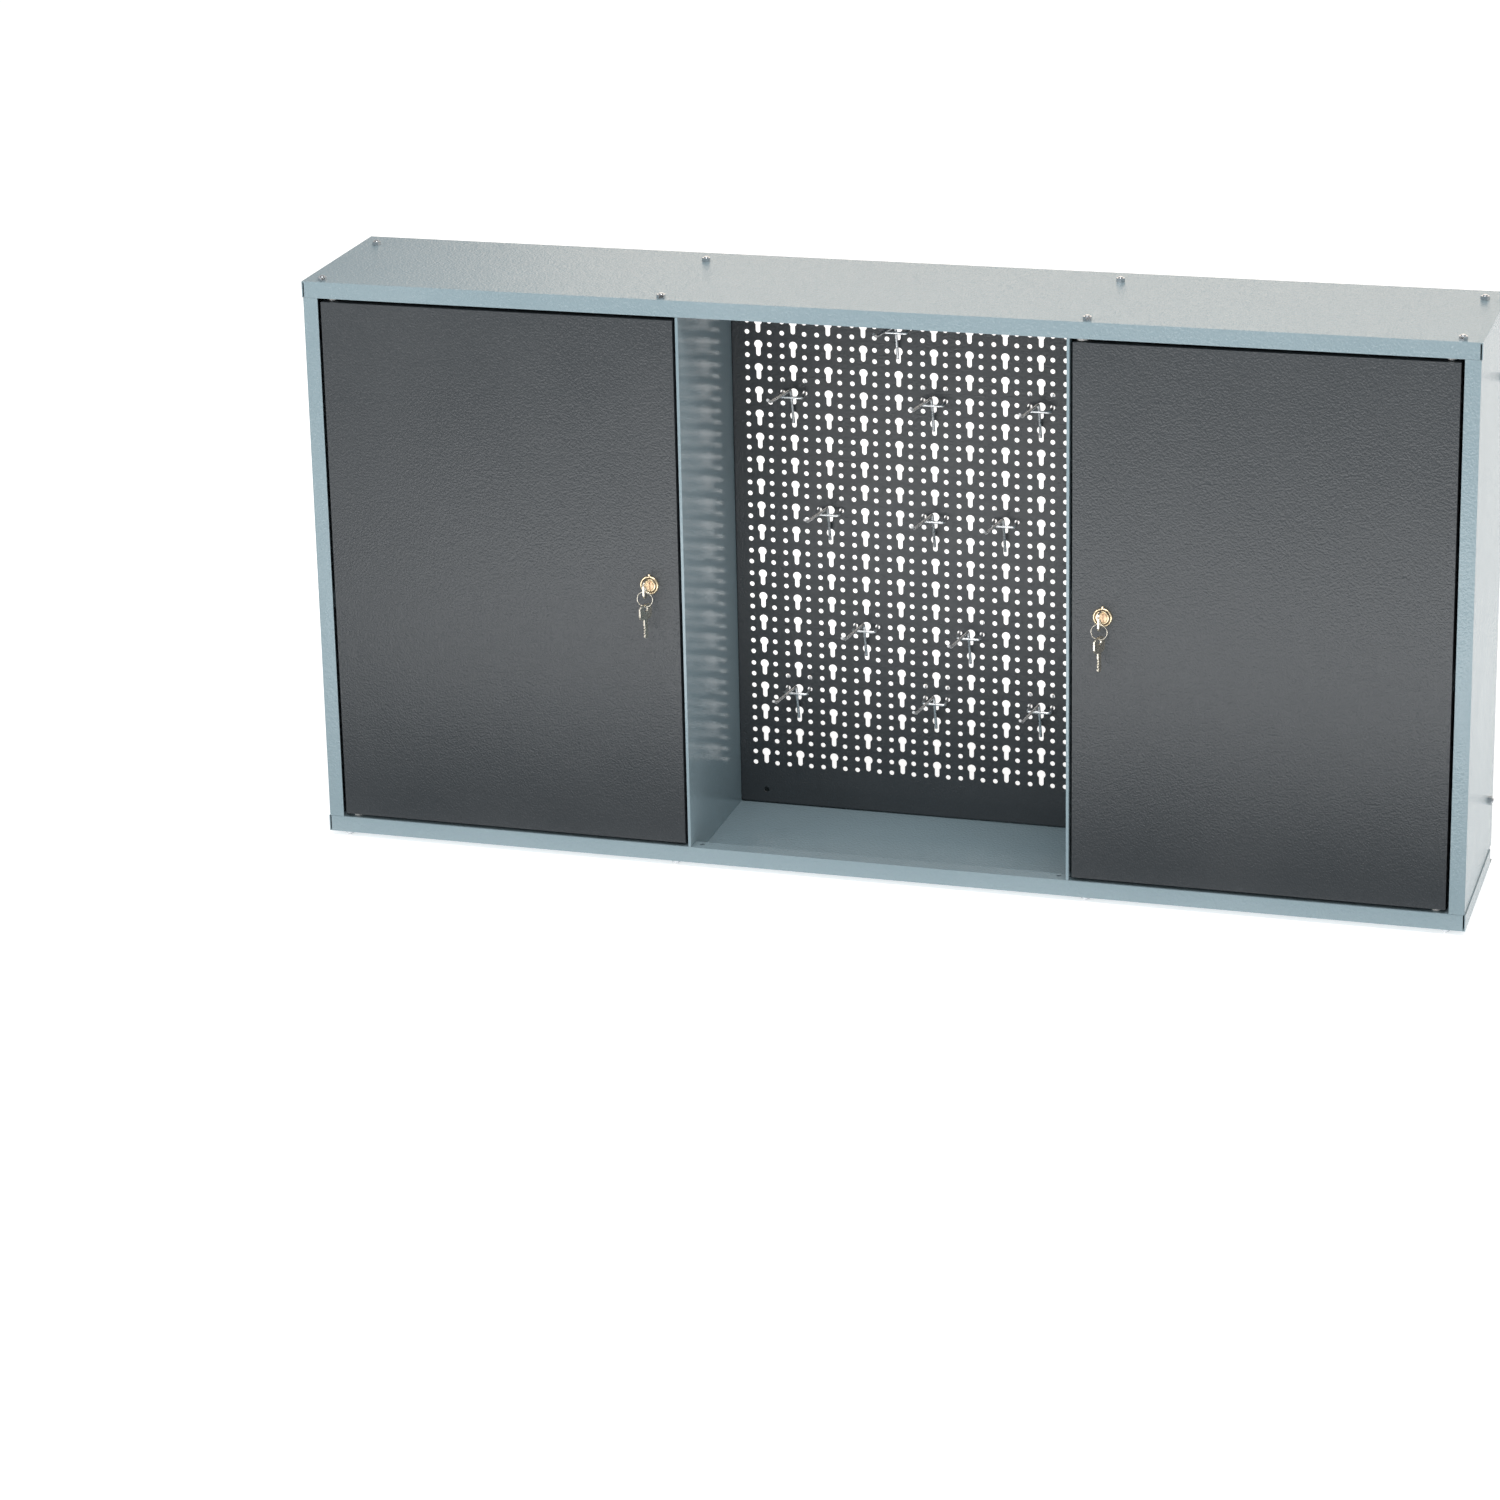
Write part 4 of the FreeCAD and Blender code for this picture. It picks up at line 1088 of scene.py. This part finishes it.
# %% The tree that sweeps a wire and repeats it
def wire_tree():
    sizes = {"Paths": "geometry", "Places": "object", "Wire radius": "value", "Wire sides": "count"}
    tree, feed, out = new_tree("wire", "GeometryNodeTree", sizes, {"Geometry": "geometry"})
    size = feed.outputs
    lines = made(tree, "GeometryNodeMeshToCurve", {"Mesh": size["Paths"]})
    section_sizes = {"Resolution": size["Wire sides"], "Radius": size["Wire radius"]}
    section = made(tree, "GeometryNodeCurvePrimitiveCircle", section_sizes)
    sweep = {"Curve": lines, "Profile Curve": section, "Fill Caps": True}
    wire = made(tree, "GeometryNodeCurveToMesh", sweep)
    soft = made(tree, "GeometryNodeSetShadeSmooth", {"Geometry": wire})
    places = add(tree, "GeometryNodeObjectInfo", {"Object": size["Places"]}).outputs["Geometry"]
    placed = made(tree, "GeometryNodeInstanceOnPoints", {"Points": places, "Instance": soft})
    real = made(tree, "GeometryNodeRealizeInstances", {"Geometry": placed})
    tree.links.new(real, out.inputs["Geometry"])
    return tree


def wires(name, paths, places, radius, sides):
    """One plain mesh of the same wires at every place."""
    spots = bpy.data.meshes.new(f"{name}_spots")
    spots.from_pydata(places, [], [])
    model = bpy.data.objects.new(f"{name}_places", spots)
    values = {"Places": model, "Wire radius": radius, "Wire sides": sides}
    item = grown(name, edges_mesh(f"{name}_paths", paths, closed=False), wire, values)
    bpy.data.objects.remove(model)
    return item


wire = wire_tree()
print("tree:", wire.name, "nodes:", len(wire.nodes))

# %% Hang the twelve hooks
HOOK_NODES = [name for name in sorted(frame["nodes"]) if name.startswith("tool_hook_")]
HOOK_TIP_RISE = PRONG_RUNS[-1][2] * MM
HOOK_SIDES = 12
panel_front = low_corner("peg_panel").y


def hook_place(node):
    """The keyhole that a hook hangs at, from the box of its node."""
    tip = high_corner(node).z - HOOK_TIP_RISE
    row = round((FIRST_ROW - tip) / ROW_PITCH)
    return (middle_of(node).x, panel_front, FIRST_ROW - row * ROW_PITCH)


hook_places = [hook_place(node) for node in HOOK_NODES]
hooks = wires("tool_hooks", hook_paths, hook_places, WIRE_RADIUS, HOOK_SIDES)
finished(hooks, "case", hook_zinc, "hook_wire", *HOOK_NODES)
print("hooks:", len(HOOK_NODES), "faces:", len(hooks.data.polygons))

# %% [markdown]
# ## Split rings
#
# Each lock carries two keys on a split ring: a spring wire wound twice, whose ends lie side by side. A torus
# would miss the split, so the path is a helix of two turns, and the same tree sweeps it.

# %% Wind the rings
RING_RADIUS = 8.1 * MM
RING_WIRE_RADIUS = 0.36 * MM
RING_TURNS = 1.93
RING_START = 0.6
RING_STEPS = 96
RING_SIDES = 10


def ring_path(centre):
    path = []
    for step in range(RING_STEPS + 1):
        share = step / RING_STEPS
        angle = FULL_TURN * RING_TURNS * share + RING_START
        along = (share - 0.5) * RING_WIRE_RADIUS * 2 * RING_TURNS
        reach = Vector((math.cos(angle) * RING_RADIUS, along, math.sin(angle) * RING_RADIUS))
        path.append(Vector(centre) + reach)
    return path


for side in SIDES:
    node = f"{side}_key_ring"
    path = ring_path(middle_of(node))
    ring = wires(f"{side}_split_ring", [path], [(0, 0, 0)], RING_WIRE_RADIUS, RING_SIDES)
    finished(ring, f"{side}_ring", key_nickel, "key_metal", node)
    print(ring.name, "faces:", len(ring.data.polygons))

# %% [markdown]
# ## Cam locks
#
# The front of a cam lock is turned from brass and lightly plated: a rounded rim, a groove, and an inner
# land round the core. A turned part is a section swept round its axis, so its section is written as radius
# and depth, from the bore's mouth over the rim to the threaded barrel behind the door.

# %% Turn the lock housings
LOCK_SIDES = 64
BORE_RADIUS = 4.98 * MM
BARREL_RADIUS = 8.5 * MM
RIM_RADIUS = 10 * MM
RIM_HEIGHT = 2.5 * MM
BARREL_LENGTH = 19 * MM
BARREL_THREAD = 1.0 * MM
MARK_WIDTH = 1.5 * MM
MARK_DEPTH_SHARE = 0.6
MARK_START_SHARE = 0.9
MOUTH_LEVEL_SHARE = 0.9
CRISP_ANGLE = math.radians(50)
RIM_SECTION_SHARES = (
    (0.54, 1.00),
    (0.66, 1.00),
    (0.69, 0.86),
    (0.70, 0.55),
    (0.78, 0.55),
    (0.80, 0.84),
    (0.84, 0.97),
    (0.89, 0.97),
    (0.95, 0.82),
    (0.99, 0.50),
    (1.00, 0.16),
    (1.00, 0.00),
)
# The groove's band, in shares of the rim's radius, where the painted shade goes.
GROOVE_SHARES = (0.675, 0.81)


def place_on_door(mesh, centre_x, front):
    """Lays a mesh turned round Z so that its axis points out of the door, and seats it there."""
    outward = Matrix.Rotation(HALF_TURN / 2, 4, "X")
    mesh.transform(Matrix.Translation((centre_x, front, 0)) @ outward)
    return mesh


def housing_mesh(name):
    rings = [(BORE_RADIUS, -BARREL_LENGTH), (BORE_RADIUS, RIM_HEIGHT * MOUTH_LEVEL_SHARE)]
    rings += [(RIM_RADIUS * radius, RIM_HEIGHT * height) for radius, height in RIM_SECTION_SHARES]
    thread = thread_rings(BARREL_RADIUS, 0, BARREL_LENGTH - BARREL_THREAD, BARREL_THREAD, THREAD_DEPTH)
    rings += [(radius, -height) for radius, height in thread]
    rings += [(BARREL_RADIUS - THREAD_DEPTH, -BARREL_LENGTH)]
    return lofted(name, rings, LOCK_SIDES, closed=True)


def add_box(cloth, low, high):
    """A block between two corners."""
    middle = (Vector(low) + Vector(high)) / 2
    reach = Vector(high) - Vector(low)
    place = Matrix.Translation(middle) @ Matrix.Diagonal((*reach, 1))
    return bmesh.ops.create_cube(cloth, size=1, matrix=place)


def make_housing(side):
    node = f"{side}_lock_housing"
    middle = middle_of(node)
    front = low_corner(node).y + RIM_HEIGHT
    mesh = place_on_door(housing_mesh(f"{side}_housing"), middle.x, front)
    cloth = bmesh.new()
    cloth.from_mesh(mesh)
    mark_front = front - RIM_HEIGHT * MARK_DEPTH_SHARE
    low = (middle.x - MARK_WIDTH / 2, mark_front, RIM_RADIUS * MARK_START_SHARE)
    add_box(cloth, low, (middle.x + MARK_WIDTH / 2, front, high_corner(node).z))
    for face in cloth.faces:
        face.smooth = True
    cloth.to_mesh(mesh)
    cloth.free()
    item = linked(f"{side}_lock_rosette", mesh)
    crisp = item.modifiers.new("crisp", "EDGE_SPLIT")
    crisp.split_angle = CRISP_ANGLE
    frozen(item)
    finished(item, f"{side}_door_leaf", pale_brass, "lock_metal", node)
    # The faces down in the groove get the dark brass, which paints their shade.
    item.data.materials.append(painted_groove_shade_brass)
    for face in item.data.polygons:
        from_axis = Vector((face.center.x - middle.x, face.center.z)).length / RIM_RADIUS
        face.material_index = GROOVE_SHARES[0] < from_axis < GROOVE_SHARES[1] and face.center.y < front
    return item


for side in SIDES:
    print(make_housing(side).name, "at", round(middle_of(f"{side}_lock_housing").x, 4))

# %% [markdown]
# Behind the door, a flat nut holds the barrel, and the core carries the cam. The nut is the same chamfered
# hexagon as before, and the small turned and stamped pieces are eased copies of their solids.

# %% The lock nuts, cores, cams, keys and hinge parts
LOCK_NUT_FLATS = 22 * MM
LOCK_NUT_SIDES = 48
FINE_BEND = 0.3 * MM
PLUG_BEND = 0.2 * MM
SMALL_PIECES = (
    # CAD node and piece, each after the side's name, then finish and slot
    ("lock_cam", "cam", zinc, "zinc_steel"),
    ("cam_screw", "cam_screw_head", zinc, "zinc_steel"),
    ("lock_key", "key_in_lock", key_nickel, "key_metal"),
    ("spare_key", "key_on_ring", key_nickel, "key_metal"),
    ("strike_plate", "strike", case_paint, "frame_paint"),
    ("shelf_supports", "shelf_angles", case_paint, "frame_paint"),
    ("upper_hinge_pin", "upper_pin", zinc, "zinc_steel"),
    ("upper_hinge_bush", "upper_bush", nylon, "nylon"),
    ("lower_hinge_pin", "lower_pin", zinc, "zinc_steel"),
    ("lower_hinge_bush", "lower_bush", nylon, "nylon"),
)


def make_lock_nut(side):
    node = f"{side}_lock_nut"
    low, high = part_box(node)
    height = high.y - low.y
    bore = [(BARREL_RADIUS, height), (BARREL_RADIUS, 0)]
    mesh = lofted(node, hexagon_rings(LOCK_NUT_FLATS, 0, height) + bore, LOCK_NUT_SIDES, closed=True)
    place_on_door(mesh, middle_of(node).x, high.y)
    return finished(linked(f"{side}_barrel_nut", mesh), f"{side}_door_leaf", zinc, "zinc_steel", node)


def eased_small(node, name, finish, slot_name, bend=FINE_BEND):
    """A small solid with every sharp edge broken."""
    item = eased(node, name, bend=bend, cut_share=1.0, broad=0)
    return finished(item, body_of_node(node), finish, slot_name, node)


for side in SIDES:
    make_lock_nut(side)
    eased_small(f"{side}_lock_core", f"{side}_lock_plug", rose_brass, "lock_metal", bend=PLUG_BEND)
    for node, name, finish, slot_name in SMALL_PIECES:
        eased_small(f"{side}_{node}", f"{side}_{name}", finish, slot_name)
eased_small("hinge_hole_plug", "hole_plug", nylon, "nylon")
